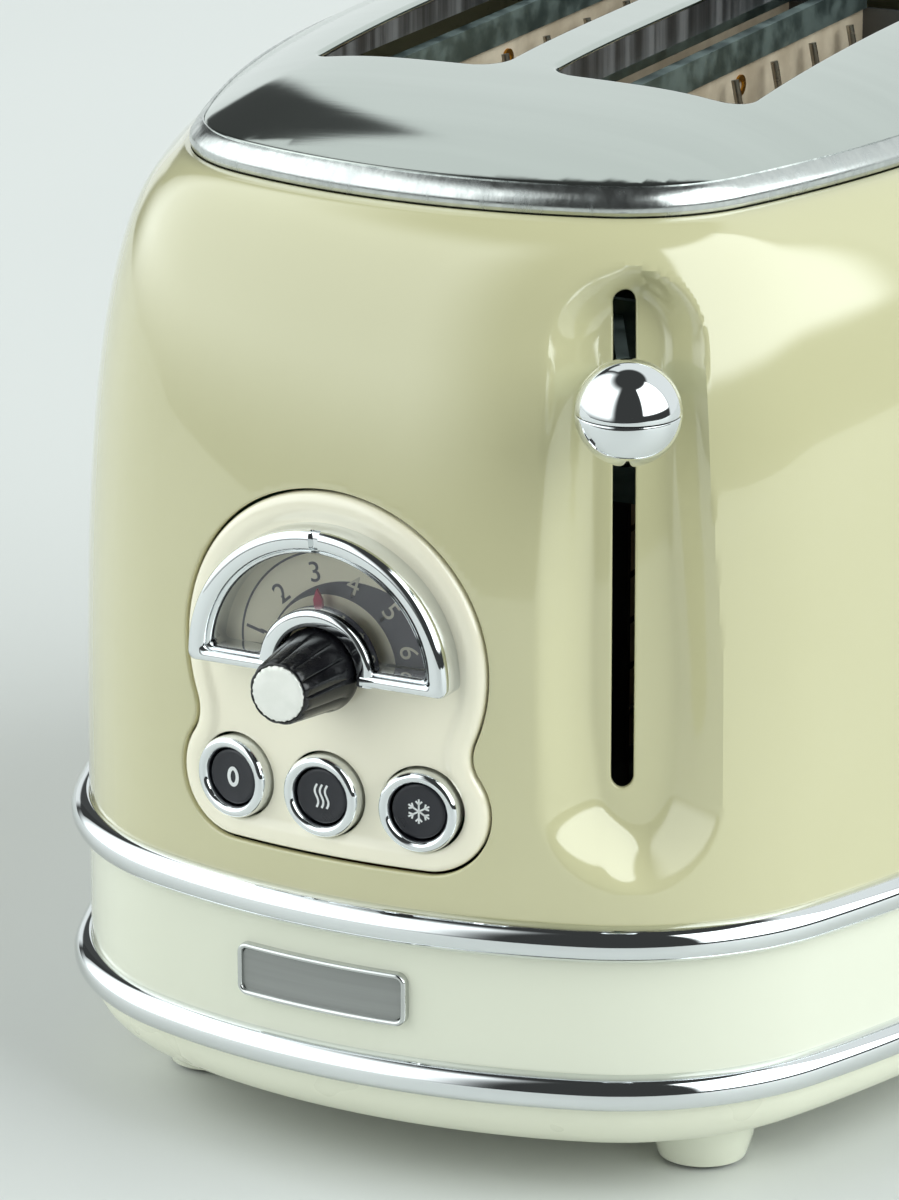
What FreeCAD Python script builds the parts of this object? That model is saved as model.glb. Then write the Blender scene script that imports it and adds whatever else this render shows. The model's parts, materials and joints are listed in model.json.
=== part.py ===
import FreeCAD, Part
import math
import os
import re
import Sketcher

# A two-slot pop up toaster. The frame: +Z is up, the floor is z = 0, the origin is under the
# middle of the body, the control end faces -Y and the bread slots run along Y. Millimetres.

Vector = FreeCAD.Vector
UP = Vector(0, 0, 1)
BACK = Vector(0, 1, 0)

SIZES = {
    # plan of the body: a large arc at each end, a larger one on each side, tangent corner arcs
    "body_half_length": 144.3,
    "body_half_width": 99,
    "end_radius": 140.3,
    "corner_radius": 55.1,
    "side_radius": 280.4,
    # heights of the outer pieces
    "tray_floor_z": 9.5,
    "ring_low_z": 24.5,
    "ring_high_z": 54.3,
    "cap_rim_z": 187.8,
    "cap_edge_z": 193.5,
    "cap_crown_z": 204,
    "crown_power": 4.5,
    # walls
    "shell_wall": 1.2,
    "band_wall": 2.5,
    "cap_wall": 1.2,
    "ring_bulge": 3.6,
    "tray_curve_inset": 16,
    # shoulder of the shell: inset over height
    "shoulder_start_z": 52,
    "shoulder_rise": 137.3,
    "shoulder_depth": 30,
    "cap_inset": 21.6,
    "cap_edge_inset": 3.2,
    # bread slots
    "slot_inner": 5.2,
    "slot_outer": 46.3,
    "slot_half_length": 72.4,
    "slot_corner": 6,
    "liner_wall": 0.8,
    "liner_bottom_z": 196.5,
    # feet
    "foot_x": 54,
    "foot_y": 101,
    "foot_top_radius": 11.2,
    "foot_bottom_radius": 8.7,
    "foot_lift": 0.8,
    "pad_radius": 6.8,
    "pad_height": 3,
    # lever trough, on the right of the control end
    "lever_angle": 28,
    "trough_shift": -1.3,
    "trough_half_width": 16,
    "trough_depth": 7,
    "trough_bottom_z": 65,
    "trough_top_z": 181,
    "lever_slot_width": 5,
    "lever_slot_bottom_z": 82,
    "lever_slot_top_z": 175.5,
    "lever_z": 159.7,
    "ball_radius": 9.8,
    "ball_reach": 9,
    "arm_thick": 2.4,
    "arm_high": 6,
    # control panel and dial, centred left of the middle to leave room for the lever
    "panel_x": -5,
    "panel_disc_z": 103.8,
    "panel_disc_radius": 32.2,
    "panel_lobe_x": 21,
    "panel_lobe_z": 77.5,
    "panel_lobe_radius": 12,
    "panel_waist_radius": 8,
    "panel_wall": 2.2,
    "panel_gap": 0.6,
    "dial_z": 103,
    "bezel_radius": 27.3,
    "bezel_front": 148.2,
    "bezel_base_drop": 1.5,
    "window_radius": 23.1,
    "window_sill": 1.6,
    "arch_radius": 12,
    "hub_radius": 8.6,
    "pointer_radius": 6.6,
    "pointer_reach": 17.5,
    "pointer_setback": 4.2,
    "pointer_wall": 0.8,
    "knob_radius": 8,
    "knob_tip_radius": 6.2,
    "knob_back": 145,
    "knob_front": 162,
    "knob_flute_radius": 0.9,
    "knob_disc_radius": 5.3,
    "shaft_radius": 3,
    # push buttons
    "button_z": 77.8,
    "button_pitch": 20,
    "button_ring_radius": 8,
    "button_bore": 5.7,
    "button_radius": 5.4,
    "button_proud": 2.4,
    "button_stem": 11,
    "button_gap": 3.2,
    # badge on the band
    "badge_z": 39.6,
    "badge_half_width": 18.5,
    "badge_half_height": 5.3,
    "badge_proud": 1.7,
    "badge_rim": 1.1,
    # chassis
    "plate_y": 70,
    "plate_wall": 1,
    "plate_half_width": 60,
    "plate_top_z": 188,
    "chassis_floor_z": 12,
    "board_inner_x": 8.5,
    "board_outer_x": 44,
    "board_wall": 0.8,
    "board_bottom_z": 58,
    "board_top_z": 193,
    "reflector_x": 56,
    "rail_height": 6,
    "rail_width": 2.6,
    # carriage
    "carriage_y": 92,
    "carriage_wall": 1.6,
    "carriage_bottom_z": 126,
    "rod_y": 82,
    "rod_radius": 2.5,
    "rod_fit": 0.06,
    "rod_top_z": 180,
    "bush_bottom_z": 140,
    "bush_top_z": 158,
    "lifter_top_z": 136,
    "lifter_high": 8,
    "lifter_half_width": 6.6,
    "lifter_end_y": 62,
    "spring_foot_z": 26,
    "spring_radius": 4.1,
    "spring_wire": 0.6,
    "spring_turns": 14,
    # bread guards
    "guard_inner_x": 13.2,
    "guard_outer_x": 38.4,
    "guard_wire": 0.8,
    "guard_top_z": 187,
    "guard_bottom_z": 66,
    "guard_half_length": 60,
    "guard_bend": 1.6,
    "guard_bend_high": 8,
    # crumb tray
    "crumb_half_width": 50,
    "crumb_floor_z": 33,
    "crumb_high": 6,
    "crumb_front_y": -64,
    "crumb_back_y": 131,
    "crumb_handle_high": 14,
    # cord inlet on the rear of the band
    "inlet_angle": 40,
    "inlet_z": 39.5,
    "inlet_radius": 6,
    "inlet_bore": 3.4,
}

doc = FreeCAD.newDocument("pop_up_toaster")
sheet = doc.addObject("Spreadsheet::Sheet", "Sizes")
for row, (alias, value) in enumerate(SIZES.items(), start=1):
    sheet.set(f"A{row}", alias)
    sheet.set(f"B{row}", str(value))
    sheet.setAlias(f"B{row}", alias)
doc.recompute()

nodes = []


def size(alias):
    """The number in the sheet's cell of that name."""
    return float(sheet.get(alias))


def bind(item, prop, text):
    """Bind a property to an expression; each word in it is a cell of the sheet."""
    words = re.sub(r"[a-z_]{3,}", lambda found: "Sizes." + found.group(0), str(text))
    item.setExpression(prop, words)


def keep(item, label):
    """Name a finished sub-part, so that it's written out."""
    item.Label = label
    nodes.append(item)
    return item


# ---------------------------------------------------------------- helpers: primitives

def box(name, x, y, z):
    """A block from three (low, high) pairs of expressions."""
    item = doc.addObject("Part::Box", name)
    for (low, high), side, axis in zip((x, y, z), ("Length", "Width", "Height"), "xyz"):
        bind(item, side, f"({high}) - ({low})")
        bind(item, f"Placement.Base.{axis}", low)
    return item


def post(name, radius, x, y, z):
    """An upright cylinder; z is a (low, high) pair of expressions."""
    item = doc.addObject("Part::Cylinder", name)
    bind(item, "Radius", radius)
    bind(item, "Height", f"({z[1]}) - ({z[0]})")
    for axis, text in zip("xyz", (x, y, z[0])):
        bind(item, f"Placement.Base.{axis}", text)
    return item


def fused(name, items):
    item = doc.addObject("Part::MultiFuse", name)
    item.Shapes = items
    return item


def less(name, base, tools):
    """The base with the tools cut away."""
    item = doc.addObject("Part::Cut", name)
    item.Base = base
    item.Tool = tools[0] if len(tools) == 1 else fused(name + "_tools", tools)
    return item


def group(name, items):
    """Several separate solids that share one node."""
    item = doc.addObject("Part::Compound", name)
    item.Links = items
    return item


def shaped(name, shape):
    """A sub-part whose shape is made from the sheet's sizes by the functions below."""
    item = doc.addObject("Part::Feature", name)
    item.Shape = shape
    item.Placement = FreeCAD.Placement()
    return item


def turned(name, profile, place=None):
    """A body turned about its own Z axis from a closed profile of (radius, height) expressions."""
    body = doc.addObject("PartDesign::Body", name)
    plane = next(f for f in body.Origin.OriginFeatures if f.Role == "XZ_Plane")
    sketch = body.newObject("Sketcher::SketchObject", name + "_profile")
    sketch.AttachmentSupport = [(plane, "")]
    sketch.MapMode = "FlatFace"
    count = len(profile)
    corners = [Vector(math.cos(2 * math.pi * i / count) + 2, math.sin(2 * math.pi * i / count), 0)
               for i in range(count)]
    for i in range(count):
        sketch.addGeometry(Part.LineSegment(corners[i], corners[(i + 1) % count]))
    for i in range(count):
        sketch.addConstraint(Sketcher.Constraint("Coincident", i, 2, (i + 1) % count, 1))
    for i, (radius, height) in enumerate(profile):
        if str(radius) == "0":
            sketch.addConstraint(Sketcher.Constraint("PointOnObject", i, 1, -2))
        else:
            spot = sketch.addConstraint(Sketcher.Constraint("DistanceX", -1, 1, i, 1, 1.0))
            bind(sketch, f"Constraints[{spot}]", radius)
        spot = sketch.addConstraint(Sketcher.Constraint("DistanceY", -1, 1, i, 1, 1.0))
        bind(sketch, f"Constraints[{spot}]", height)
    spin = body.newObject("PartDesign::Revolution", name + "_turn")
    spin.Profile = sketch
    spin.ReferenceAxis = (sketch, ["V_Axis"])
    spin.Angle = 360
    body.Tip = spin
    if place is not None:
        body.Placement = place
    return body


def padded(name, role, loops, depth, place=None):
    """A body padded from rectangles and circles on one of its origin planes.

    A loop is ("box", x0, x1, y0, y1) or ("circle", x, y, radius), each an expression.
    """
    body = doc.addObject("PartDesign::Body", name)
    plane = next(f for f in body.Origin.OriginFeatures if f.Role == role)
    sketch = body.newObject("Sketcher::SketchObject", name + "_outline")
    sketch.AttachmentSupport = [(plane, "")]
    sketch.MapMode = "FlatFace"
    for loop in loops:
        first = sketch.GeometryCount
        if loop[0] == "circle":
            sketch.addGeometry(Part.Circle(Vector(0, 0, 0), Vector(0, 0, 1), 1.0))
            dims = (("DistanceX", first, 3, loop[1]), ("DistanceY", first, 3, loop[2]))
            spot = sketch.addConstraint(Sketcher.Constraint("Radius", first, 1.0))
            bind(sketch, f"Constraints[{spot}]", loop[3])
        else:
            turns = [Vector(0, 0, 0), Vector(1, 0, 0), Vector(1, 1, 0), Vector(0, 1, 0)]
            for i in range(4):
                sketch.addGeometry(Part.LineSegment(turns[i], turns[(i + 1) % 4]))
            for i in range(4):
                pair = Sketcher.Constraint("Coincident", first + i, 2, first + (i + 1) % 4, 1)
                sketch.addConstraint(pair)
                way = "Vertical" if i % 2 else "Horizontal"
                sketch.addConstraint(Sketcher.Constraint(way, first + i))
            dims = (("DistanceX", first, 1, loop[1]), ("DistanceY", first, 1, loop[3]),
                    ("DistanceX", first + 1, 2, loop[2]), ("DistanceY", first + 1, 2, loop[4]))
        for kind, edge, end, text in dims:
            spot = sketch.addConstraint(Sketcher.Constraint(kind, -1, 1, edge, end, 0.5))
            bind(sketch, f"Constraints[{spot}]", text)
    pad = body.newObject("PartDesign::Pad", name + "_pad")
    pad.Profile = sketch
    bind(pad, "Length", depth)
    body.Tip = pad
    if place is not None:
        body.Placement = place
    return body


# ---------------------------------------------------------------- helpers: the body's plan

HALF_LENGTH = size("body_half_length")
HALF_WIDTH = size("body_half_width")
END_CENTRE = Vector(0, size("end_radius") - HALF_LENGTH, 0)
SIDE_CENTRE = Vector(HALF_WIDTH - size("side_radius"), 0, 0)


def corner_centre():
    """Centre of the front right corner arc, tangent to the end arc and the side arc."""
    reach_end = size("end_radius") - size("corner_radius")
    reach_side = size("side_radius") - size("corner_radius")
    apart = SIDE_CENTRE - END_CENTRE
    span = apart.Length
    along = (reach_end ** 2 - reach_side ** 2 + span ** 2) / (2 * span)
    aside = math.sqrt(reach_end ** 2 - along ** 2)
    unit = apart / span
    left = Vector(-unit.y, unit.x, 0)
    options = [END_CENTRE + unit * along + left * side for side in (aside, -aside)]
    return max(options, key=lambda spot: spot.x - spot.y)


CORNER_CENTRE = corner_centre()


def on_circle(centre, towards, radius):
    """The point of a circle in the direction of another point from its centre."""
    return centre + (towards - centre).normalize() * radius


def outline(inset, z, scale=1):
    """The closed plan outline, moved in by the inset, at height z: eight tangent arcs."""
    end = size("end_radius") - inset
    side = size("side_radius") - inset
    corner = size("corner_radius") - inset
    nose = Vector(0, inset - HALF_LENGTH, 0)
    flank = Vector(HALF_WIDTH - inset, 0, 0)
    outward = CORNER_CENTRE + (CORNER_CENTRE - END_CENTRE)
    join_end = on_circle(CORNER_CENTRE, outward, corner)
    outward = CORNER_CENTRE + (CORNER_CENTRE - SIDE_CENTRE)
    join_side = on_circle(CORNER_CENTRE, outward, corner)
    middle = on_circle(CORNER_CENTRE, (join_end + join_side) / 2, corner)
    flips = ((1, 1), (1, -1), (-1, -1), (-1, 1))

    def flip(spot, way):
        return Vector(spot.x * way[0] * scale, spot.y * way[1] * scale, z)

    edges = []
    for i, way in enumerate(flips):
        first, last = (join_end, join_side) if i % 2 == 0 else (join_side, join_end)
        edges.append(Part.Arc(flip(first, way), flip(middle, way), flip(last, way)).toShape())
        join, bridge = (join_side, flank) if i % 2 == 0 else (join_end, nose)
        after = flips[(i + 1) % 4]
        edges.append(Part.Arc(flip(join, way), flip(bridge, way), flip(join, after)).toShape())
    return Part.Wire(edges)


def slab(inset, z0, z1):
    """An upright prism of the plan outline."""
    return Part.Face(outline(inset, z0)).extrude(UP * (z1 - z0))


def shoulder(z):
    """How far the shell's outer skin has moved in at height z."""
    part = max(0.0, z - size("shoulder_start_z")) / size("shoulder_rise")
    return size("shoulder_depth") * (1 - (1 - part ** 3) ** (1 / 3))


SHELL_LEVELS = (0, 0.35, 0.55, 0.7, 0.82, 0.91, 0.97, 1)


def shell_solid(inset):
    """The filled form of the upper body, moved in by the inset."""
    low, high = size("ring_high_z"), size("cap_rim_z")
    levels = [low + (high - low) * part for part in SHELL_LEVELS]
    return Part.makeLoft([outline(shoulder(z) + inset, z) for z in levels], True, True)


def dome_solid(drop, inset):
    """The filled form of the cap: a rolled rim, then a shallow crown."""
    rim, edge, crown = size("cap_rim_z"), size("cap_edge_z"), size("cap_crown_z")
    base = size("cap_inset") + inset
    roll = size("cap_edge_inset")
    sections = [outline(base, rim)]
    for part in (0.4, 0.8):
        lean = roll * (1 - math.sqrt(1 - part ** 2))
        sections.append(outline(base + lean, rim - drop + (edge - rim) * part))
    for scale in (1, 0.93, 0.84, 0.7, 0.5, 0.3):
        height = crown - (crown - edge) * scale ** size("crown_power") - drop
        sections.append(outline(base + roll, height, scale))
    return Part.makeLoft(sections, True, True)


def across(wire, y0, y1):
    """A prism along Y of a closed wire in the XZ plane."""
    face = Part.Face(wire)
    face.translate(BACK * y0)
    return face.extrude(BACK * (y1 - y0))


def disc(x, z, radius):
    return Part.Wire([Part.Circle(Vector(x, 0, z), BACK, radius).toShape()])


def slab_x(x0, x1, z0, z1, y0, y1):
    """A plain block from its six limits."""
    return Part.makeBox(x1 - x0, y1 - y0, z1 - z0, Vector(x0, y0, z0))


def half_moon(radius, base_drop, y0, y1):
    """A disc of the dial, cut off level below its centre, as a prism along Y."""
    x, z = size("panel_x"), size("dial_z")
    whole = across(disc(x, z, radius), y0, y1)
    return whole.common(slab_x(x - radius - 1, x + radius + 1, z - base_drop, z + radius + 1, y0 - 1, y1 + 1))


# ---------------------------------------------------------------- outer pieces

FRONT = -HALF_LENGTH - 30
SHELL = shell_solid(0)
LEVER_TURN = math.radians(size("lever_angle"))
LEVER_OUT = Vector(math.sin(LEVER_TURN), -math.cos(LEVER_TURN), 0)
LEVER_SIDE = Vector(math.cos(LEVER_TURN), math.sin(LEVER_TURN), 0)
LEVER_ROOT = CORNER_CENTRE + LEVER_SIDE * size("trough_shift")


def lever_prism(half_width, z0, z1, start, length):
    """An upright stadium prism along the lever's own direction, from start outwards."""
    mid_low, mid_high = z0 + half_width, z1 - half_width
    origin = LEVER_ROOT + LEVER_OUT * start

    def spot(side, z):
        return origin + LEVER_SIDE * side + UP * z

    edges = [Part.LineSegment(spot(half_width, mid_low), spot(half_width, mid_high)).toShape(),
             Part.Arc(spot(half_width, mid_high), spot(0, z1), spot(-half_width, mid_high)).toShape(),
             Part.LineSegment(spot(-half_width, mid_high), spot(-half_width, mid_low)).toShape(),
             Part.Arc(spot(-half_width, mid_low), spot(0, z0), spot(half_width, mid_low)).toShape()]
    return Part.Face(Part.Wire(edges)).extrude(LEVER_OUT * length)


def trough(grow):
    """The space of the pressed lever trough; grow makes it larger by the metal's thickness."""
    prism = lever_prism(size("trough_half_width") + grow, size("trough_bottom_z") - grow,
                        size("trough_top_z") + grow, 25, 60)
    return prism.cut(shell_solid(size("trough_depth") + grow))


def panel_wire(grow):
    """Outline of the control panel: a disc over a bar with round ends, joined by waists."""
    disc_radius = size("panel_disc_radius") + grow
    lobe_radius = size("panel_lobe_radius") + grow
    waist = size("panel_waist_radius") - grow
    top = Vector(0, 0, size("panel_disc_z"))
    lobe = Vector(size("panel_lobe_x"), 0, size("panel_lobe_z"))
    span = (lobe - top).Length
    near, far = disc_radius + waist, lobe_radius + waist
    along = (near ** 2 - far ** 2 + span ** 2) / (2 * span)
    aside = math.sqrt(near ** 2 - along ** 2)
    unit = (lobe - top) / span
    hollow = top + unit * along + Vector(-unit.z, 0, unit.x) * aside
    disc_end = on_circle(top, hollow, disc_radius)
    lobe_start = on_circle(lobe, hollow, lobe_radius)
    marks = [disc_end,
             on_circle(hollow, (disc_end + lobe_start) / 2, waist),
             lobe_start,
             on_circle(lobe, lobe + Vector(1, 0, -0.6), lobe_radius),
             lobe - UP * lobe_radius]
    shift = size("panel_x")

    def place(spot, side):
        return Vector(shift + side * spot.x, 0, spot.z)

    crown = Vector(0, 0, top.z + disc_radius)
    edges = [Part.Arc(place(marks[0], -1), place(crown, 1), place(marks[0], 1)).toShape(),
             Part.Arc(place(marks[0], 1), place(marks[1], 1), place(marks[2], 1)).toShape(),
             Part.Arc(place(marks[2], 1), place(marks[3], 1), place(marks[4], 1)).toShape(),
             Part.LineSegment(place(marks[4], 1), place(marks[4], -1)).toShape(),
             Part.Arc(place(marks[4], -1), place(marks[3], -1), place(marks[2], -1)).toShape(),
             Part.Arc(place(marks[2], -1), place(marks[1], -1), place(marks[0], -1)).toShape()]
    return Part.Wire(edges)


def make_body_shell():
    """The pressed steel body: thin wall, lever trough with its slot, opening for the panel."""
    wall = size("shell_wall")
    skin = SHELL.cut(trough(0))
    hollow = shell_solid(wall).cut(trough(wall))
    skin = skin.cut(hollow)
    slot = lever_prism(size("lever_slot_width") / 2, size("lever_slot_bottom_z"),
                       size("lever_slot_top_z"), 15, 60)
    skin = skin.cut(slot)
    skin = skin.cut(across(panel_wire(size("panel_gap")), FRONT, -100))
    keep(shaped("body_shell", skin), "body_shell")


def slot_prism(side, grow, z0, z1):
    """The upright space of one bread slot, with round corners; grow widens it all round."""
    low, high = size("slot_inner") - grow, size("slot_outer") + grow
    half = size("slot_half_length") + grow
    block = Part.makeBox(high - low, 2 * half, z1 - z0, Vector(low, -half, z0))
    uprights = [edge for edge in block.Edges if abs(edge.tangentAt(edge.FirstParameter).z) > 0.9]
    block = block.makeFillet(size("slot_corner") + grow, uprights)
    if side < 0:
        block = block.mirror(Vector(0, 0, 0), Vector(1, 0, 0))
    return block


def make_top_cap():
    """The crowned steel cap with the two bread slots."""
    crown = dome_solid(0, 0)
    inside = dome_solid(size("cap_wall"), size("cap_wall"))
    cap = crown.cut(inside)
    for side in (-1, 1):
        cap = cap.cut(slot_prism(side, 0, 150, 220))
    keep(shaped("top_cap", cap), "top_cap")


def make_slot_liners():
    """A folded flange that hangs under the edge of each bread slot."""
    inside = dome_solid(size("cap_wall"), size("cap_wall"))
    low = size("liner_bottom_z")
    for side, word in ((-1, "left"), (1, "right")):
        tube = slot_prism(side, size("liner_wall"), low, 220).cut(slot_prism(side, 0, low - 1, 221))
        name = "slot_liner_" + word
        keep(shaped(name, tube.common(inside)), name)


def make_trim_ring(name, alias):
    """A half round bright strip round the whole body."""
    bulge, z = size("ring_bulge"), size(alias)
    steps = [math.radians(angle) for angle in range(-90, 91, 30)]
    sections = [outline(-bulge * math.cos(step), z + bulge * math.sin(step)) for step in steps]
    full = Part.makeLoft(sections, True, True)
    keep(shaped(name, full.cut(slab(0, z - bulge - 1, z + bulge + 1))), name)


def make_base_band():
    """The upright band between the two rings, open at the rear for the crumb tray."""
    low, high = size("ring_low_z"), size("ring_high_z")
    band = slab(0, low, high).cut(slab(size("band_wall"), low - 1, high + 1))
    gate = crumb_gate(0.5)
    band = band.cut(gate).cut(inlet_hole())
    keep(shaped("base_band", band), "base_band")


def crumb_gate(grow):
    """The space of the crumb tray's rear opening."""
    half = size("crumb_half_width") + grow
    low = size("crumb_floor_z") - 1 - grow
    high = low + size("crumb_handle_high") + 2 * grow
    return slab_x(-half, half, low, high, 100, 170)


def tray_form(inset, lift):
    """The filled form of the tray, moved in by the inset and up by the lift."""
    low, high = size("tray_floor_z"), size("ring_low_z")
    reach = size("tray_curve_inset")
    shoulder_z = high - 3.5
    sections = []
    for part in (1, 0.92, 0.78, 0.6, 0.4, 0.2, 0):
        lean = reach * (1 - math.sqrt(1 - part ** 2))
        sections.append(outline(inset + lean, shoulder_z - (shoulder_z - low) * part + lift))
    sections.append(outline(inset, high))
    return Part.makeLoft(sections, True, True)


def make_base_tray():
    """The tray under the band: its side curves in to a flat floor."""
    low, wall = size("tray_floor_z"), size("band_wall")
    tray = tray_form(0, 0).cut(tray_form(wall, size("chassis_floor_z") - low))
    keep(shaped("base_tray", tray), "base_tray")


def make_feet():
    """Four cone feet with a rubber pad in each."""
    top = "tray_floor_z"
    feet, pads = [], []
    for word_y, sign_y in (("front", -1), ("rear", 1)):
        for word_x, sign_x in (("left", -1), ("right", 1)):
            name = f"{word_y}_{word_x}"
            spot = Vector(sign_x * size("foot_x"), sign_y * size("foot_y"), 0)
            place = FreeCAD.Placement(spot, FreeCAD.Rotation())
            profile = [(0, "pad_height"), ("pad_radius", "pad_height"), ("pad_radius", "foot_lift"),
                       ("foot_bottom_radius - 0.8", "foot_lift"),
                       ("foot_bottom_radius", "foot_lift + 1"), ("foot_top_radius", top), (0, top)]
            feet.append(turned("foot_" + name, profile, place))
            profile = [(0, 0), ("pad_radius - 0.6", 0), ("pad_radius", 0.6),
                       ("pad_radius", "pad_height"), (0, "pad_height")]
            pads.append(turned("pad_" + name, profile, place))
    keep(group("feet", feet), "feet")
    keep(group("foot_pads", pads), "foot_pads")


# ---------------------------------------------------------------- control end

def surface_frame(x):
    """Place with its local Z pointing out of the curved end at x, on the skin."""
    angle = math.asin(x / size("end_radius"))
    out = Vector(math.sin(angle), -math.cos(angle), 0)
    spot = END_CENTRE + out * size("end_radius")
    turn = FreeCAD.Rotation(UP, out)
    return spot, out, turn


def button_spots():
    """Name, position on the skin and outward direction of each push button."""
    found = []
    for index, word in ((-1, "cancel"), (0, "reheat"), (1, "defrost")):
        spot, out, turn = surface_frame(size("panel_x") + index * size("button_pitch"))
        found.append((word, spot + UP * size("button_z"), out, turn))
    return found


def make_control_panel():
    """The inset panel, following the curve of the body's end, with its openings."""
    wall = size("panel_wall")
    rind = SHELL.cut(shell_solid(wall))
    panel = across(panel_wire(0), FRONT, -100).common(rind)
    panel = panel.cut(half_moon(size("window_radius") + 0.2, -size("window_sill"), FRONT, -100))
    panel = panel.cut(half_moon(size("arch_radius") - 0.4, size("bezel_base_drop") - 0.4, FRONT, -100))
    hub = disc(size("panel_x"), size("dial_z"), size("pointer_radius") + 0.4)
    panel = panel.cut(across(hub, FRONT, -100))
    for word, spot, out, turn in button_spots():
        well = Part.makeCylinder(size("button_ring_radius") + 0.15, 20, spot - out * 10, out)
        panel = panel.cut(well)
    keep(shaped("control_panel", panel), "control_panel")


def window_form(radius, y0, y1):
    """The half round window opening, less the arch over the hub."""
    form = half_moon(radius, -size("window_sill"), y0, y1)
    arch = across(disc(size("panel_x"), size("dial_z"), size("arch_radius")), y0 - 1, y1 + 1)
    return form.cut(arch)


def make_dial():
    """The bright half moon bezel, the clear window and the face behind it."""
    x, z = size("panel_x"), size("dial_z")
    front = -size("bezel_front")
    bezel = half_moon(size("bezel_radius"), size("bezel_base_drop"), front, -120)
    bezel = bezel.cut(window_form(size("window_radius"), front - 1, -119))
    bezel = bezel.cut(across(disc(x, z, size("hub_radius")), front - 1, -119))
    notch_low = z + size("window_radius") - 1
    bezel = bezel.cut(slab_x(x - 0.6, x + 0.6, notch_low, z + 40, front - 1, front + 0.8))
    room_front = front + size("pointer_setback") - 0.3
    behind_arch = half_moon(size("arch_radius") + 0.3, -size("window_sill"), room_front, -119)
    needle_room = across(disc(x, z, size("arch_radius") - 0.9), room_front, -119)
    bezel = bezel.cut(behind_arch).cut(needle_room).cut(SHELL)
    keep(shaped("dial_bezel", bezel), "dial_bezel")
    window = window_form(size("window_radius"), front + 1.2, front + 2.2)
    keep(shaped("dial_window", window), "dial_window")
    face = window_form(size("window_radius") - 0.1, front + 7, front + 7.8)
    keep(shaped("dial_face", face), "dial_face")


def make_knob():
    """The fluted browning knob with its end disc, its shaft and the red pointer."""
    axis = FreeCAD.Placement(Vector(size("panel_x"), 0, size("dial_z")), FreeCAD.Rotation(UP, -BACK))
    profile = [("shaft_radius", "knob_back"), ("knob_radius", "knob_back"),
               ("knob_radius", "knob_back + 2.5"), ("knob_tip_radius", "knob_front - 0.8"),
               ("knob_tip_radius - 0.5", "knob_front"), ("knob_disc_radius", "knob_front"),
               ("knob_disc_radius", "knob_front - 0.8"), ("shaft_radius", "knob_front - 0.8")]
    solid = turned("knob_blank", profile, axis)
    flutes = []
    for index in range(12):
        angle = 2 * math.pi * index / 12
        reach = size("knob_radius") + 0.1
        near = Vector(reach * math.cos(angle), reach * math.sin(angle), size("knob_back") + 2.5)
        reach = size("knob_tip_radius") + 0.4
        far = Vector(reach * math.cos(angle), reach * math.sin(angle), size("knob_front") + 1)
        run = far - near
        groove = Part.makeCylinder(size("knob_flute_radius"), run.Length, near, run)
        flutes.append(groove)
    grooves = shaped("knob_flutes", Part.makeCompound(flutes))
    grooves.Placement = axis
    keep(less("browning_knob", solid, [grooves]), "browning_knob")
    profile = [(0, "knob_front - 0.8"), ("knob_disc_radius", "knob_front - 0.8"),
               ("knob_disc_radius", "knob_front"), ("knob_disc_radius - 0.7", "knob_front + 0.3"),
               (0, "knob_front + 0.4")]
    keep(turned("knob_end_disc", profile, axis), "knob_end_disc")
    profile = [(0, "knob_back - 10"), ("shaft_radius", "knob_back - 10"),
               ("shaft_radius", "knob_front - 0.8"), (0, "knob_front - 0.8")]
    keep(turned("knob_shaft", profile, axis), "knob_shaft")


def make_pointer():
    """A flat disc on the shaft with a red needle that shows the setting."""
    x, z = size("panel_x"), size("dial_z")
    y0 = -size("bezel_front") + size("pointer_setback")
    y1 = y0 + size("pointer_wall")
    plate = across(disc(x, z, size("pointer_radius")), y0, y1)
    needle = slab_x(x - 0.7, x + 0.7, z + 5, z + size("pointer_reach"), y0, y1)
    bore = across(disc(x, z, size("shaft_radius")), y0 - 1, y0 + 2)
    keep(shaped("dial_pointer", plate.fuse(needle).removeSplitter().cut(bore)), "dial_pointer")


def make_buttons():
    """Three push buttons, each in a bright ring set in the panel."""
    rings = []
    for word, spot, out, turn in button_spots():
        place = FreeCAD.Placement(spot, turn)
        ring = [("button_bore", -5), ("button_ring_radius", -5),
                ("button_ring_radius", "button_proud - 1.4"),
                ("button_ring_radius - 0.4", "button_proud - 0.5"),
                ("button_ring_radius - 1.1", "button_proud"), ("button_bore + 0.7", "button_proud - 0.1"),
                ("button_bore", "button_proud - 0.9")]
        rings.append(turned("ring_" + word, ring, place))
        cap = [(0, "-button_stem"), (2, "-button_stem"), (2, -6), ("button_radius", -6),
               ("button_radius", "button_proud - 1.7"),
               ("button_radius - 0.7", "button_proud - 1.2"), (0, "button_proud - 1.2")]
        name = "button_" + word
        keep(turned(name, cap, place), name)
    keep(group("button_rings", rings), "button_rings")


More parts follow.
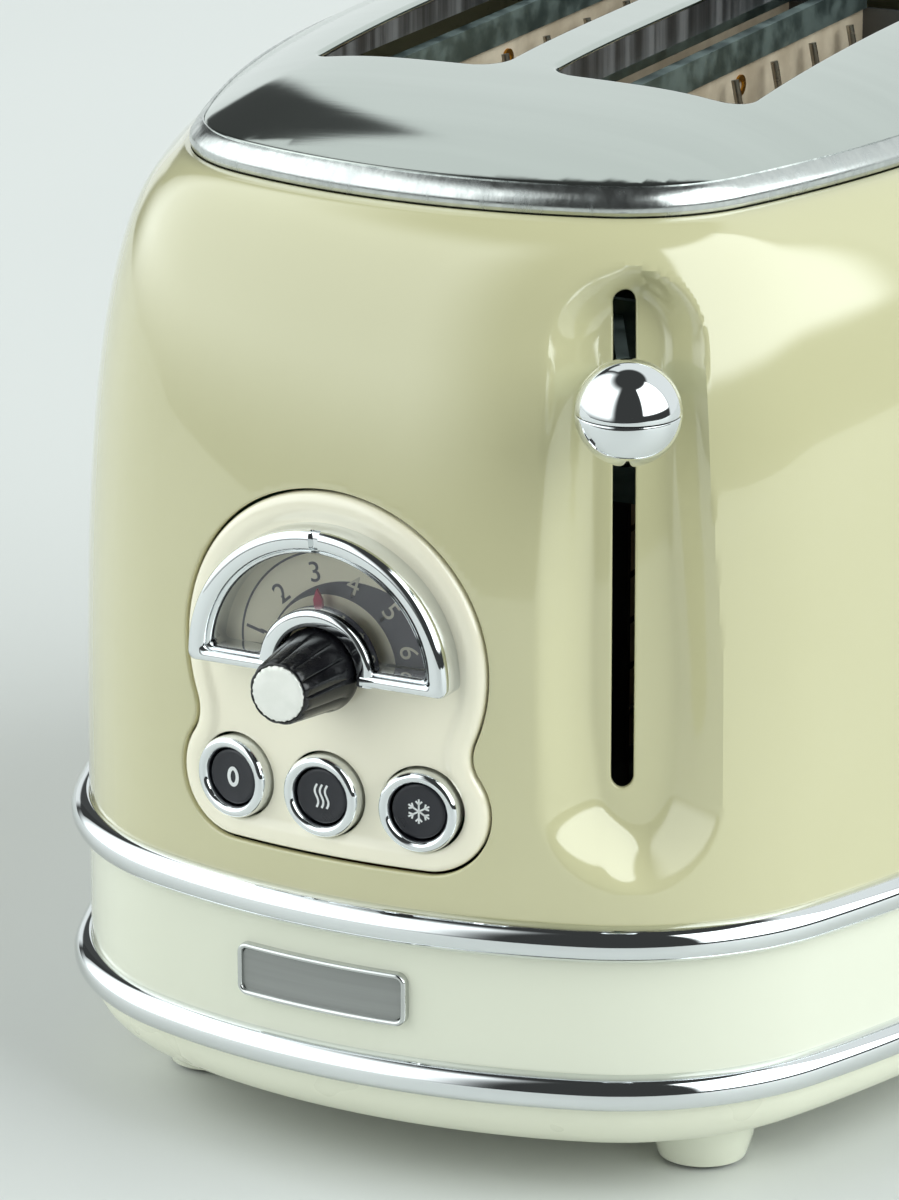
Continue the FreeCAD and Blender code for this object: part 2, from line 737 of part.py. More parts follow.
def make_control_board():
    """The circuit board behind the panel, with the potentiometer and the switches."""
    y = size("body_half_length") - 17
    board = padded("control_board", "XZ_Plane",
                   [("box", "panel_x - 31", "panel_x + 31", "panel_lobe_z - 12", "panel_disc_z + 28")],
                   1.6, FreeCAD.Placement(Vector(0, 1.6 - y, 0), FreeCAD.Rotation()))
    keep(board, "control_board")
    axis = FreeCAD.Placement(Vector(size("panel_x"), 0, size("dial_z")), FreeCAD.Rotation(UP, -BACK))
    profile = [(0, "body_half_length - 17"), (8.5, "body_half_length - 17"),
               (8.5, "knob_back - 11.2"), (5, "knob_back - 11.2"), (5, "knob_back - 10.2"),
               (0, "knob_back - 10.2")]
    keep(turned("potentiometer", profile, axis), "potentiometer")
    switches = []
    for word, spot, out, turn in button_spots():
        touch = spot - out * (size("button_stem") + size("button_gap"))
        block = slab_x(touch.x - 3, touch.x + 3, spot.z - 3, spot.z + 3, touch.y, -y)
        switches.append(shaped("switch_" + word, block))
    keep(group("button_switches", switches), "button_switches")
    board_low = size("panel_lobe_z") - 12
    floor = size("tray_floor_z")
    room = tray_form(size("band_wall"), size("chassis_floor_z") - floor)
    room = room.fuse(slab(size("band_wall"), size("ring_low_z"), board_low + 1))
    stands = []
    for side in (-1, 1):
        x = size("panel_x") + side * 27
        stand = slab_x(x - 2, x + 2, floor, board_low, -y, 4 - y).common(room)
        stands.append(shaped(f"stand_{side + 1}", stand))
    keep(group("board_stands", stands), "board_stands")


def make_badge():
    """A blank name plate on the band: a rim round a sunk field."""
    x, z = size("panel_x") - 1, size("badge_z")
    wide, high = size("badge_half_width"), size("badge_half_height")
    rim, proud = size("badge_rim"), size("badge_proud")

    def plate(half_wide, half_high, skin):
        form = slab_x(x - half_wide, x + half_wide, z - half_high, z + half_high, FRONT, -100)
        posts = [edge for edge in form.Edges if abs(edge.tangentAt(edge.FirstParameter).y) > 0.9]
        form = form.makeFillet(min(2.2, half_high / 2), posts)
        rind = slab(-skin, z - 10, z + 10).cut(slab(0, z - 11, z + 11))
        return form.common(rind)

    field = plate(wide - rim, high - rim, proud - 0.7)
    frame = plate(wide, high, proud).cut(plate(wide - rim, high - rim, proud + 1))
    keep(shaped("badge_field", field), "badge_field")
    keep(shaped("badge_rim", frame), "badge_rim")


# ---------------------------------------------------------------- lever and carriage

def make_ball():
    """The round lever handle, in two halves that meet on a level seam."""
    skin = size("corner_radius") + size("ball_reach")
    centre = LEVER_ROOT + LEVER_OUT * skin + UP * size("lever_z")
    radius = size("ball_radius")
    socket = arm_form(0, skin + radius - 4)
    for word, low in (("upper", 0), ("lower", -radius - 1)):
        ball = Part.makeSphere(radius, centre)
        corner = centre + Vector(-2 * radius, -2 * radius, low)
        half = Part.makeBox(4 * radius, 4 * radius, radius + 1, corner)
        name = "lever_ball_" + word
        keep(shaped(name, ball.common(half).cut(socket)), name)


def arm_form(inner, outer):
    """A flat bar along the lever's direction, from one reach to another."""
    thick, high = size("arm_thick"), size("arm_high")
    length = outer - inner
    bar = Part.makeBox(thick, length, high, Vector(-thick / 2, -length, -high / 2))
    bar.rotate(Vector(0, 0, 0), UP, size("lever_angle"))
    bar.translate(LEVER_ROOT + LEVER_OUT * inner + UP * size("lever_z"))
    return bar


def make_lever_arm():
    """The bar from the carriage out through the slot into the ball."""
    outer = size("corner_radius") + size("ball_reach") + size("ball_radius") - 4
    bar = arm_form(-30, outer)
    front = -size("carriage_y")
    bar = bar.cut(slab_x(-60, 120, 0, 220, front, 40))
    keep(shaped("lever_arm", bar), "lever_arm")


def make_carriage():
    """The plate that carries both bread lifters, with its bush on the guide rod."""
    front, back = "-carriage_y", "-carriage_y + carriage_wall"
    plate = box("carriage_plate", ("-33", "36"), (front, back), ("carriage_bottom_z", "lever_z + 6"))
    block = box("carriage_block", ("-7", "7"), (back, "-rod_y + 7"), ("bush_bottom_z", "bush_top_z"))
    bore = post("carriage_bore", "rod_radius + rod_fit", "0", "-rod_y", ("100", "200"))
    body = fused("carriage_body", [plate, block])
    keep(less("bread_carriage", body, [bore]), "bread_carriage")
    middle = "(slot_inner + slot_outer) / 2"
    for word, sign in (("left", "-1"), ("right", "1")):
        x = f"{sign} * {middle}"
        blade = box("blade_" + word, (f"{x} - 0.75", f"{x} + 0.75"), (back, "lifter_end_y + 12"),
                    ("lifter_top_z - lifter_high", "lifter_top_z"))
        rungs = []
        for index in range(9):
            y = f"(-0.94 + 0.235 * {index}) * lifter_end_y"
            wide = (f"{x} - lifter_half_width", f"{x} + lifter_half_width")
            rungs.append(box(f"rung_{word}_{index}", wide, (f"{y} - 2", f"{y} + 2"),
                             ("lifter_top_z - 1.5", "lifter_top_z")))
        name = "bread_lifter_" + word
        keep(fused(name, [blade] + rungs), name)
    keeper = box("latch_keeper", ("-24", "-10"), ("-carriage_y - 9", "-carriage_y + carriage_wall"),
                 ("carriage_bottom_z - 2", "carriage_bottom_z"))
    keep(keeper, "latch_keeper")


def make_guide_rod():
    """The upright rod, its top bracket and the return spring round it."""
    keep(post("guide_rod", "rod_radius", "0", "-rod_y", ("chassis_floor_z", "rod_top_z")), "guide_rod")
    bracket = box("bracket_block", ("-8", "8"), ("-rod_y - 6", "-plate_y - plate_wall"),
                  ("rod_top_z - 5", "rod_top_z"))
    bore = post("bracket_bore", "rod_radius", "0", "-rod_y", ("150", "200"))
    keep(less("rod_bracket", bracket, [bore]), "rod_bracket")
    collar = post("collar_block", "spring_radius + 1.6", "0", "-rod_y", ("chassis_floor_z", "spring_foot_z"))
    bore = post("collar_bore", "rod_radius", "0", "-rod_y", ("0", "100"))
    keep(less("rod_collar", collar, [bore]), "rod_collar")
    wire = size("spring_wire")
    low, high = size("spring_foot_z") + wire + 0.1, size("bush_bottom_z") - wire - 0.1
    turns = size("spring_turns")
    path = Part.makeHelix((high - low) / turns, high - low, size("spring_radius"))
    profile = Part.Wire([Part.Circle(Vector(size("spring_radius"), 0, 0), BACK, wire).toShape()])
    coil = shaped("return_spring", Part.Wire(path).makePipeShell([profile], True, True))
    coil.Placement = FreeCAD.Placement(Vector(0, -size("rod_y"), low), FreeCAD.Rotation())
    keep(coil, "return_spring")


def make_latch():
    """The electromagnet that holds the carriage down, on its pedestal."""
    core = box("electromagnet", ("-26", "-8"), ("-carriage_y - 11", "-carriage_y + 5"),
               ("carriage_bottom_z - 98", "carriage_bottom_z - 74.6"))
    keep(core, "electromagnet")
    stand = box("magnet_stand", ("-28", "-6"), ("-carriage_y - 11", "-carriage_y + 5"),
                ("chassis_floor_z", "carriage_bottom_z - 98"))
    keep(stand, "magnet_stand")


# ---------------------------------------------------------------- toasting chamber

def make_end_plates():
    """The two upright plates that hold the boards; both have slits for the lifters."""
    middle = "(slot_inner + slot_outer) / 2"
    for word, y in (("front", "-plate_y - plate_wall"), ("rear", "plate_y")):
        loops = [("box", "-plate_half_width", "plate_half_width", "chassis_floor_z", "plate_top_z")]
        for sign in ("-1", "1"):
            loops.append(("box", f"{sign} * {middle} - 3", f"{sign} * {middle} + 3", "50", "154"))
        if word == "rear":
            loops.append(("box", "-crumb_half_width - 2", "crumb_half_width + 2", "28", "46"))
        name = word + "_plate"
        plate = padded(name, "XZ_Plane", loops, "plate_wall")
        bind(plate, "Placement.Base.y", f"{y} + plate_wall")
        keep(plate, name)


def make_boards():
    """The four heater boards with their channel rails and brass eyelets."""
    half = "board_wall / 2"
    rails = []
    for side_word, sign in (("left", "-1"), ("right", "1")):
        for place_word, alias in (("outer", "board_outer_x"), ("inner", "board_inner_x")):
            x = f"{sign} * {alias}"
            name = f"heater_board_{place_word}_{side_word}"
            board = box(name, (f"{x} - {half}", f"{x} + {half}"), ("-plate_y", "plate_y"),
                        ("board_bottom_z", "board_top_z"))
            keep(board, name)
            name = f"board_rail_{place_word}_{side_word}"
            rail = box(name + "_block", (f"{x} - rail_width / 2", f"{x} + rail_width / 2"),
                       ("-plate_y", "plate_y"), ("board_top_z - rail_height + 1", "board_top_z + 1"))
            groove = box(name + "_groove", (f"{x} - {half}", f"{x} + {half}"),
                         ("-plate_y - 1", "plate_y + 1"), ("board_top_z - rail_height", "board_top_z"))
            rails.append(less(name, rail, [groove]))
    keep(group("board_rails", rails), "board_rails")


def make_eyelets():
    """Brass eyelets that hold the heater ribbon's ends, on the faces towards the bread."""
    rivets = []
    for sign in (-1, 1):
        for alias, face in (("board_outer_x", -1), ("board_inner_x", 1)):
            for y in (-50, 8):
                x = sign * (size(alias) + face * size("board_wall") / 2)
                spot = Vector(x, y, size("board_top_z") - 9)
                out = Vector(sign * face, 0, 0)
                ring = Part.makeCylinder(2.2, 0.5, spot, out)
                hole = Part.makeCylinder(1.1, 2, spot - out, out)
                rivets.append(shaped(f"eyelet_{len(rivets)}", ring.cut(hole)))
    keep(group("ribbon_eyelets", rivets), "ribbon_eyelets")


def make_reflectors():
    """A thin heat shield between each outer board and the shell."""
    for word, sign in (("left", "-1"), ("right", "1")):
        x = f"{sign} * reflector_x"
        name = "side_reflector_" + word
        keep(box(name, (f"{x} - 0.4", f"{x} + 0.4"), ("-plate_y", "plate_y"),
                 ("board_bottom_z - 8", "plate_top_z - 2")), name)


def guard_wire(x, away, y):
    """One upright wire: straight, then bent at its top towards the board."""
    low, high = size("guard_bottom_z"), size("guard_top_z")
    knee = high - size("guard_bend_high")
    marks = [Vector(x, y, low), Vector(x, y, knee), Vector(x + away * size("guard_bend"), y, high)]
    wire = size("guard_wire")
    first = Part.makeCylinder(wire, (marks[1] - marks[0]).Length, marks[0], marks[1] - marks[0])
    second = Part.makeCylinder(wire, (marks[2] - marks[1]).Length, marks[1], marks[2] - marks[1])
    return first.fuse(second).fuse(Part.makeSphere(wire, marks[1]))


def make_guards():
    """Four wire cages that close on the bread as the carriage goes down."""
    half, wire = size("guard_half_length"), size("guard_wire")
    for side_word, sign in (("left", -1), ("right", 1)):
        for place_word, alias, away in (("outer", "guard_outer_x", 1), ("inner", "guard_inner_x", -1)):
            x = sign * size(alias)
            cage = None
            for index in range(7):
                y = half * (index / 3 - 1) * 0.95
                rod = guard_wire(x, sign * away, y)
                cage = rod if cage is None else cage.fuse(rod)
            for z in (size("guard_bottom_z") + 3, size("guard_top_z") - 14):
                cage = cage.fuse(Part.makeCylinder(wire, 2 * half, Vector(x, -half, z), BACK))
            name = f"bread_guard_{place_word}_{side_word}"
            keep(shaped(name, cage), name)


# ---------------------------------------------------------------- base

def make_crumb_tray():
    """A shallow tray that slides out at the rear, with a curved pull."""
    half, low = size("crumb_half_width") - 0.5, size("crumb_floor_z")
    front, back = size("crumb_front_y"), size("crumb_back_y")
    outer = slab_x(-half, half, low, low + size("crumb_high"), front, back)
    inner = slab_x(-half + 0.8, half - 0.8, low + 0.8, low + 20, front + 0.8, back + 10)
    tray = outer.cut(inner)
    keep(shaped("crumb_tray", tray), "crumb_tray")
    rind = slab(-1.2, low - 5, low + 20).cut(slab(size("band_wall"), low - 6, low + 21))
    rear = crumb_gate(0).common(rind)
    shelf = slab_x(-half, half, low, low + size("crumb_high"), back, 160)
    hold = rear.fuse(shelf.common(slab(size("band_wall"), 0, 60))).removeSplitter()
    grip = Part.makeCylinder(24, 9, Vector(0, HALF_LENGTH + 22.6, low + 2), UP)
    keep(shaped("crumb_tray_pull", hold.cut(grip)), "crumb_tray_pull")


def make_tray_runners():
    """Two runners on the floor that the crumb tray slides on."""
    low, high = size("chassis_floor_z"), size("crumb_floor_z") - 0.1
    runners = []
    for sign in (-1, 1):
        x = sign * (size("crumb_half_width") - 6)
        bar = slab_x(x - 4, x + 4, low, high, size("crumb_front_y") - 2, size("plate_y"))
        runners.append(shaped(f"runner_{sign + 1}", bar))
    keep(group("tray_runners", runners), "tray_runners")


def inlet_spot():
    """Place of the cord inlet on the rear right corner of the band, and its outward direction."""
    angle = math.radians(size("inlet_angle"))
    out = Vector(math.sin(angle), math.cos(angle), 0)
    centre = Vector(CORNER_CENTRE.x, -CORNER_CENTRE.y, size("inlet_z"))
    return centre + out * size("corner_radius"), out


def inlet_hole():
    spot, out = inlet_spot()
    return Part.makeCylinder(size("inlet_radius"), 20, spot - out * 10, out)


def make_cord_inlet():
    """A collar in the rear of the band where the supply cord enters."""
    spot, out = inlet_spot()
    place = FreeCAD.Placement(spot, FreeCAD.Rotation(UP, out))
    profile = [("inlet_bore", -5), ("inlet_radius", -5), ("inlet_radius", 0.3), ("inlet_radius + 1.5", 0.3),
               ("inlet_radius + 1.5", 1.3), ("inlet_radius - 0.5", 2.5), ("inlet_bore", 2.5)]
    keep(turned("cord_inlet", profile, place), "cord_inlet")


def make_base_screws():
    """Six round headed screws that close the tray from below."""
    screws = []
    for sign_x in (-1, 1):
        for y in (-70, 0, 70):
            spot = Vector(sign_x * 36, y, size("tray_floor_z"))
            place = FreeCAD.Placement(spot, FreeCAD.Rotation(UP, -UP))
            profile = [(0, 0), (3.4, 0), (3.4, 0.7), (2.4, 1.8), (0, 1.8)]
            screws.append(turned(f"screw_{len(screws)}", profile, place))
    keep(group("base_screws", screws), "base_screws")


make_body_shell()
make_top_cap()
make_slot_liners()
make_trim_ring("upper_trim_ring", "ring_high_z")
make_trim_ring("lower_trim_ring", "ring_low_z")
make_base_band()
make_base_tray()
make_feet()
make_control_panel()
make_dial()
make_knob()
make_pointer()
make_buttons()
make_control_board()
make_badge()
make_ball()
make_lever_arm()
make_carriage()
make_guide_rod()
make_latch()
make_end_plates()
make_boards()
make_eyelets()
make_reflectors()
make_guards()
make_crumb_tray()
make_tray_runners()
make_cord_inlet()
make_base_screws()
doc.recompute()

# ---------------------------------------------------------------- check and write

faults = [item.Label for item in doc.Objects if "Invalid" in item.State or "Error" in item.State]
for item in nodes:
    shape = item.Shape
    if shape.isNull() or not shape.isValid() or not shape.Solids:
        faults.append(item.Label + " shape")
if faults:
    raise RuntimeError("failed: " + ", ".join(faults))

os.makedirs("parts", exist_ok=True)
for item in nodes:
    item.Shape.exportStep("parts/" + item.Label + ".step")
print(len(nodes), "sub-parts written")
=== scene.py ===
import json
import math

import bmesh
import bpy
import numpy as np
from mathutils import Matrix, Vector


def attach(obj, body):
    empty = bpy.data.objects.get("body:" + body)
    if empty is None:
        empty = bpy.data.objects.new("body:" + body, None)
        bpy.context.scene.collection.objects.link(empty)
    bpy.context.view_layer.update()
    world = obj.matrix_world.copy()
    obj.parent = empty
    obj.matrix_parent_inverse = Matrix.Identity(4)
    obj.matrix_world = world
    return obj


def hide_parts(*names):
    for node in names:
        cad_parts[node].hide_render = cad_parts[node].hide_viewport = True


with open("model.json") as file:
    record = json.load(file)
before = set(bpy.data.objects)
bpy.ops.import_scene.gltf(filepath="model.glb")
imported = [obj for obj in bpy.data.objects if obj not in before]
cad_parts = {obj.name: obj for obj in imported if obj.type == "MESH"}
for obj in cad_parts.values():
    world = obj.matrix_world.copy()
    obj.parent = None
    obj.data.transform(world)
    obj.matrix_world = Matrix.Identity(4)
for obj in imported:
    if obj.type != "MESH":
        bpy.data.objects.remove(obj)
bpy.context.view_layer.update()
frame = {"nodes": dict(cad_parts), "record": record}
scene = bpy.context.scene
NODES = frame["nodes"]

# A pop up toaster. Lengths in the functions below are millimetres in the CAD's own frame;
# mesh_object() turns them into metres.
MM = 0.001
DEG = math.pi / 180

# plan of the body: eight tangent arcs
END_CENTRE, END_R = (0.0, -4.0), 140.3
SIDE_CENTRE, SIDE_R = (-181.4, 0.0), 280.4
CORNER_R = 55.1

# heights of the two trim rings, with the band between them
RING_LOW, RING_HIGH, RING_R = 24.5, 54.3, 3.6

# the skin's shoulder: where it starts, how high it rises, how far it moves in
SHOULDER_LOW, SHOULDER_RISE, SHOULDER_IN = 52.0, 137.3, 30.0

# an end's openings are looked for beyond HALF_Y; elsewhere their distance is FAR_OFF
HALF_Y, FAR_OFF = 60, 50


def corner_centre():
    """Centre of the front right corner arc, tangent inside the end arc and the side arc."""
    a, b = END_R - CORNER_R, SIDE_R - CORNER_R
    c0, c1 = np.array(END_CENTRE), np.array(SIDE_CENTRE)
    span = np.linalg.norm(c1 - c0)
    along = (a * a - b * b + span * span) / (2 * span)
    aside = math.sqrt(a * a - along * along)
    unit = (c1 - c0) / span
    left = np.array([-unit[1], unit[0]])
    return max((c0 + unit * along + left * s for s in (aside, -aside)), key=lambda p: p[0] - p[1])


CORNER = corner_centre()
TURN_1 = math.atan2(CORNER[0] - END_CENTRE[0], -(CORNER[1] - END_CENTRE[1]))
TURN_2 = math.atan2(CORNER[0] - SIDE_CENTRE[0], -(CORNER[1] - SIDE_CENTRE[1]))


def plan_base(turn):
    """Point of the outer plan and outward normal where the normal is turned from the front."""
    sx = np.where(np.sin(turn) < 0, -1.0, 1.0)
    sy = np.where(np.cos(turn) < 0, -1.0, 1.0)
    q = np.arctan2(np.abs(np.sin(turn)), np.abs(np.cos(turn)))
    end, side = q < TURN_1, q > TURN_2
    cx = np.where(end, END_CENTRE[0], np.where(side, SIDE_CENTRE[0], CORNER[0]))
    cy = np.where(end, END_CENTRE[1], np.where(side, SIDE_CENTRE[1], CORNER[1]))
    radius = np.where(end, END_R, np.where(side, SIDE_R, CORNER_R))
    x = (cx + radius * np.sin(q)) * sx
    y = (cy - radius * np.cos(q)) * sy
    return x, y, np.sin(turn), -np.cos(turn)


TURNS = np.linspace(-math.pi, math.pi, 7201)
_x, _y, _, _ = plan_base(TURNS)
LENGTHS = np.concatenate([[0], np.cumsum(np.hypot(np.diff(_x), np.diff(_y)))])
PERIMETER = LENGTHS[-1]
LENGTHS = LENGTHS - PERIMETER / 2


def plan(u, inset):
    """Point and normal of the plan at arc length u from the front, moved in by the inset."""
    u = (np.asarray(u, float) + PERIMETER / 2) % PERIMETER - PERIMETER / 2
    turn = np.interp(u, LENGTHS, TURNS)
    x, y, nx, ny = plan_base(turn)
    return x - inset * nx, y - inset * ny, nx, ny


def inset_of(x, y):
    """How far inside the outer plan a point is."""
    px, py = np.abs(x), -np.abs(y)
    at_end = np.arctan2(px - END_CENTRE[0], -(py - END_CENTRE[1])) < TURN_1
    at_side = np.arctan2(px - SIDE_CENTRE[0], -(py - SIDE_CENTRE[1])) > TURN_2
    end = END_R - np.hypot(px - END_CENTRE[0], py - END_CENTRE[1])
    side = SIDE_R - np.hypot(px - SIDE_CENTRE[0], py - SIDE_CENTRE[1])
    corner = CORNER_R - np.hypot(px - CORNER[0], py - CORNER[1])
    return np.where(at_side, side, np.where(at_end, end, corner))


def shoulder(z):
    """How far the shell's skin has moved in at height z."""
    t = np.clip((np.asarray(z, float) - SHOULDER_LOW) / SHOULDER_RISE, 0, 1)
    return SHOULDER_IN * (1 - (1 - t ** 3) ** (1 / 3))


def smooth_step(low, high, value):
    t = np.clip((value - low) / (high - low), 0, 1)
    return t * t * (3 - 2 * t)


def rounded_box(across, up, half_width, half_height, corner):
    """Distance inside a rectangle with round corners, from the offsets to its centre."""
    qx = np.abs(across) - (half_width - corner)
    qz = np.abs(up) - (half_height - corner)
    return corner - np.hypot(np.maximum(qx, 0), np.maximum(qz, 0)) - np.minimum(np.maximum(qx, qz), 0)


# ---- mesh tools

def mesh_object(name, points, faces, material, sharp=35):
    """An object from points in millimetres, smooth shaded up to the sharp angle."""
    mesh = bpy.data.meshes.new(name)
    mesh.from_pydata((np.asarray(points, float) * MM).tolist(), [], [list(map(int, f)) for f in faces])
    work = bmesh.new()
    work.from_mesh(mesh)
    bmesh.ops.remove_doubles(work, verts=work.verts, dist=1e-7)
    bmesh.ops.recalc_face_normals(work, faces=work.faces)
    work.to_mesh(mesh)
    work.free()
    mesh.shade_smooth()
    mesh.set_sharp_from_angle(angle=sharp * DEG)
    made = bpy.data.objects.new(name, mesh)
    scene.collection.objects.link(made)
    mesh.materials.append(material)
    return made


def settle(piece, slot, *nodes, body="root"):
    """The piece rides on the body and stands for the nodes. The slot is not used."""
    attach(piece, body)
    if nodes:
        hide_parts(*nodes)
    return piece


def slope(inside, u, v, step=0.02):
    """Gradient of the inside distance."""
    gu = (inside(u + step, v) - inside(u - step, v)) / (2 * step)
    gv = (inside(u, v + step) - inside(u, v - step)) / (2 * step)
    return gu, gv


def to_edge(inside, u, v, rounds=3):
    """Points moved along the gradient onto the zero line."""
    for _ in range(rounds):
        gu, gv = slope(inside, u, v)
        size2 = np.maximum(gu * gu + gv * gv, 1e-6)
        value = inside(u, v)
        u = u - value * gu / size2
        v = v - value * gv / size2
    return u, v


def clip_grid(us, vs, inside, wrap):
    """Faces of a grid kept where inside is positive, cut along its zero line."""
    nu, nv = len(us), len(vs)
    grid_u, grid_v = np.meshgrid(us, vs, indexing="ij")
    value = inside(grid_u, grid_v)
    step_u = np.gradient(us)[:, None] + 0 * grid_u
    step_v = np.gradient(vs)[None, :] + 0 * grid_u
    near = np.abs(value) < 0.3 * np.minimum(step_u, step_v)
    if near.any():
        grid_u[near], grid_v[near] = to_edge(inside, grid_u[near], grid_v[near])
        value[near] = 0
    points, on_edge, index, cuts, faces = [], [], {}, {}, []

    def corner(i, j):
        key = (i % nu if wrap else i, j)
        if key not in index:
            index[key] = len(points)
            points.append((grid_u[key], grid_v[key]))
            on_edge.append(value[key] == 0)
        return index[key]

    def cut(a, b):
        key = tuple(sorted((a, b)))
        if key not in cuts:
            fa, fb = value[a], value[b]
            t = fa / (fa - fb)
            ua, ub = grid_u[a], grid_u[b]
            if wrap and abs(ua - ub) > PERIMETER / 2:
                ub = ub + PERIMETER * (1 if ua > ub else -1)
            cuts[key] = len(points)
            points.append((ua + t * (ub - ua), grid_v[a] + t * (grid_v[b] - grid_v[a])))
            on_edge.append(True)
        return cuts[key]

    for i in range(nu if wrap else nu - 1):
        for j in range(nv - 1):
            k = (i + 1) % nu
            ring = [(i, j), (k, j), (k, j + 1), (i, j + 1)]
            signs = [value[c] for c in ring]
            if max(signs) <= 0:
                continue
            if min(signs) >= 0:
                faces.append([corner(*c) for c in ring])
                continue
            loop = []
            for n in range(4):
                a, b = ring[n], ring[(n + 1) % 4]
                if value[a] >= 0:
                    loop.append(corner(*a))
                if value[a] * value[b] < 0:
                    loop.append(cut(a, b))
            if len(loop) > 2:
                faces.append(loop)
    spots = np.array(points, float)
    on_edge = np.array(on_edge, bool)
    spots[on_edge, 0], spots[on_edge, 1] = to_edge(inside, spots[on_edge, 0], spots[on_edge, 1], 2)
    return spots, on_edge, faces


# a quarter round edge: how far out and how deep, in shares of its radius
ROUND = [(math.sin(a * DEG), 1 - math.cos(a * DEG)) for a in (22.5, 45, 67.5, 90)]


def relief(name, us, vs, inside, place, back, material, reach=1.0, wrap=False):
    """A closed plate over a (u, v) field, with rounded edges.

    inside(u, v) is the distance from the plate's outer edge, reach the edge's radius, a number
    or a function of (u, v), and place(u, v, drop) gives x, y, z at a depth below the front.
    """
    radius = reach if callable(reach) else (lambda u, v: np.zeros_like(u) + reach)

    def cut_level(u, v):
        return inside(u, v) - radius(u, v)

    spots, on_edge, faces = clip_grid(us, vs, cut_level, wrap)
    count = len(spots)
    front = np.column_stack(place(spots[:, 0], spots[:, 1], np.zeros(count)))
    rows = [front]
    edge = np.nonzero(on_edge)[0]
    order = {int(v): n for n, v in enumerate(edge)}
    eu, ev = spots[edge, 0], spots[edge, 1]
    gu, gv = slope(inside, eu, ev)
    size = np.maximum(np.hypot(gu, gv), 1e-6)
    gu, gv = gu / size, gv / size
    r = radius(eu, ev)
    for grow, drop in ROUND:
        rows.append(np.column_stack(place(eu - gu * r * grow, ev - gv * r * grow, r * drop)))
    rear = np.column_stack(place(spots[:, 0], spots[:, 1], np.zeros(count) + back))
    rear[edge] = np.column_stack(place(eu - gu * r, ev - gv * r, np.zeros(len(edge)) + back))
    rows.append(rear)
    starts = np.cumsum([0] + [len(part) for part in rows])
    used = dict.fromkeys((a, b) for face in faces for a, b in zip(face, face[1:] + face[:1]))
    made = [list(f) for f in faces]
    made += [[starts[-2] + v for v in reversed(f)] for f in faces]
    for a, b in used:
        if (b, a) in used:
            continue
        steps = range(1, len(ROUND) + 1) if a in order and b in order else ()
        way_a, way_b = ([v] + [starts[n] + order[v] for n in steps] + [starts[-2] + v] for v in (a, b))
        made += [[b0, a0, a1, b1] for b0, a0, a1, b1 in zip(way_b, way_a, way_a[1:], way_b[1:])]
    return mesh_object(name, np.vstack(rows), made, material)


def lathe(name, profile, material, steps=64, centre=(0, 0, 0), axis=(0, 0, 1), sharp=35, radius_at=None):
    """A turned piece from (radius, height) pairs; radius_at(angle, height, radius) may flute it."""
    out = Vector(axis).normalized()
    turn = out.to_track_quat("Z", "Y").to_matrix()
    points, faces, rings = [], [], []
    for r, h in profile:
        if r < 1e-6:
            rings.append([len(points)])
            points.append((0, 0, h))
            continue
        rings.append(list(range(len(points), len(points) + steps)))
        for k in range(steps):
            angle = 2 * math.pi * k / steps
            rr = radius_at(angle, h, r) if radius_at else r
            points.append((rr * math.cos(angle), rr * math.sin(angle), h))
    pairs = list(zip(rings, rings[1:]))
    if len(rings[0]) > 1 and len(rings[-1]) > 1:
        pairs.append((rings[-1], rings[0]))
    for low, high in pairs:
        for k in range(steps):
            m = (k + 1) % steps
            if len(low) == 1:
                faces.append([low[0], high[k], high[m]])
            elif len(high) == 1:
                faces.append([low[k], low[m], high[0]])
            else:
                faces.append([low[k], low[m], high[m], high[k]])
    spots = np.array([turn @ Vector(p) for p in points]) + np.array(centre, float)
    return mesh_object(name, spots, faces, material, sharp)


def fused(name, pieces):
    """Several meshes joined into one object."""
    work = bmesh.new()
    for piece in pieces:
        work.from_mesh(piece.data)
    mesh = pieces[0].data
    work.to_mesh(mesh)
    work.free()
    for piece in pieces[1:]:
        bpy.data.objects.remove(piece)
    pieces[0].name = name
    return pieces[0]


def sweep(name, profile, material, sharp=35, spacing=2.0, cap=False):
    """A profile of (inset, z) pairs carried round the plan; cap closes it with flat ends."""
    us = around(spacing)
    rows = []
    for inset, z in profile:
        x, y, _, _ = plan(us, inset)
        rows.append(np.column_stack([x, y, z + 0 * x]))
    count = len(us)
    faces = []
    spans = len(profile) - 1 if cap else len(profile)
    for n in range(spans):
        m = (n + 1) % len(profile)
        for k in range(count):
            j = (k + 1) % count
            faces.append([n * count + k, n * count + j, m * count + j, m * count + k])
    if cap:
        faces.append(list(range(count)))
        faces.append([(len(profile) - 1) * count + k for k in range(count)])
    return mesh_object(name, np.vstack(rows), faces, material, sharp)


def around(spacing, fine=()):
    """Arc lengths round the whole plan; fine holds (low, high, spacing) stretches."""
    marks = []
    stops = sorted(fine)
    start = -PERIMETER / 2
    for low, high, step in stops:
        marks.append(np.linspace(start, low, max(2, int((low - start) / spacing)), endpoint=False))
        marks.append(np.linspace(low, high, int((high - low) / step), endpoint=False))
        start = high
    marks.append(np.linspace(start, PERIMETER / 2, int((PERIMETER / 2 - start) / spacing), endpoint=False))
    return np.concatenate(marks)


# ---- materials

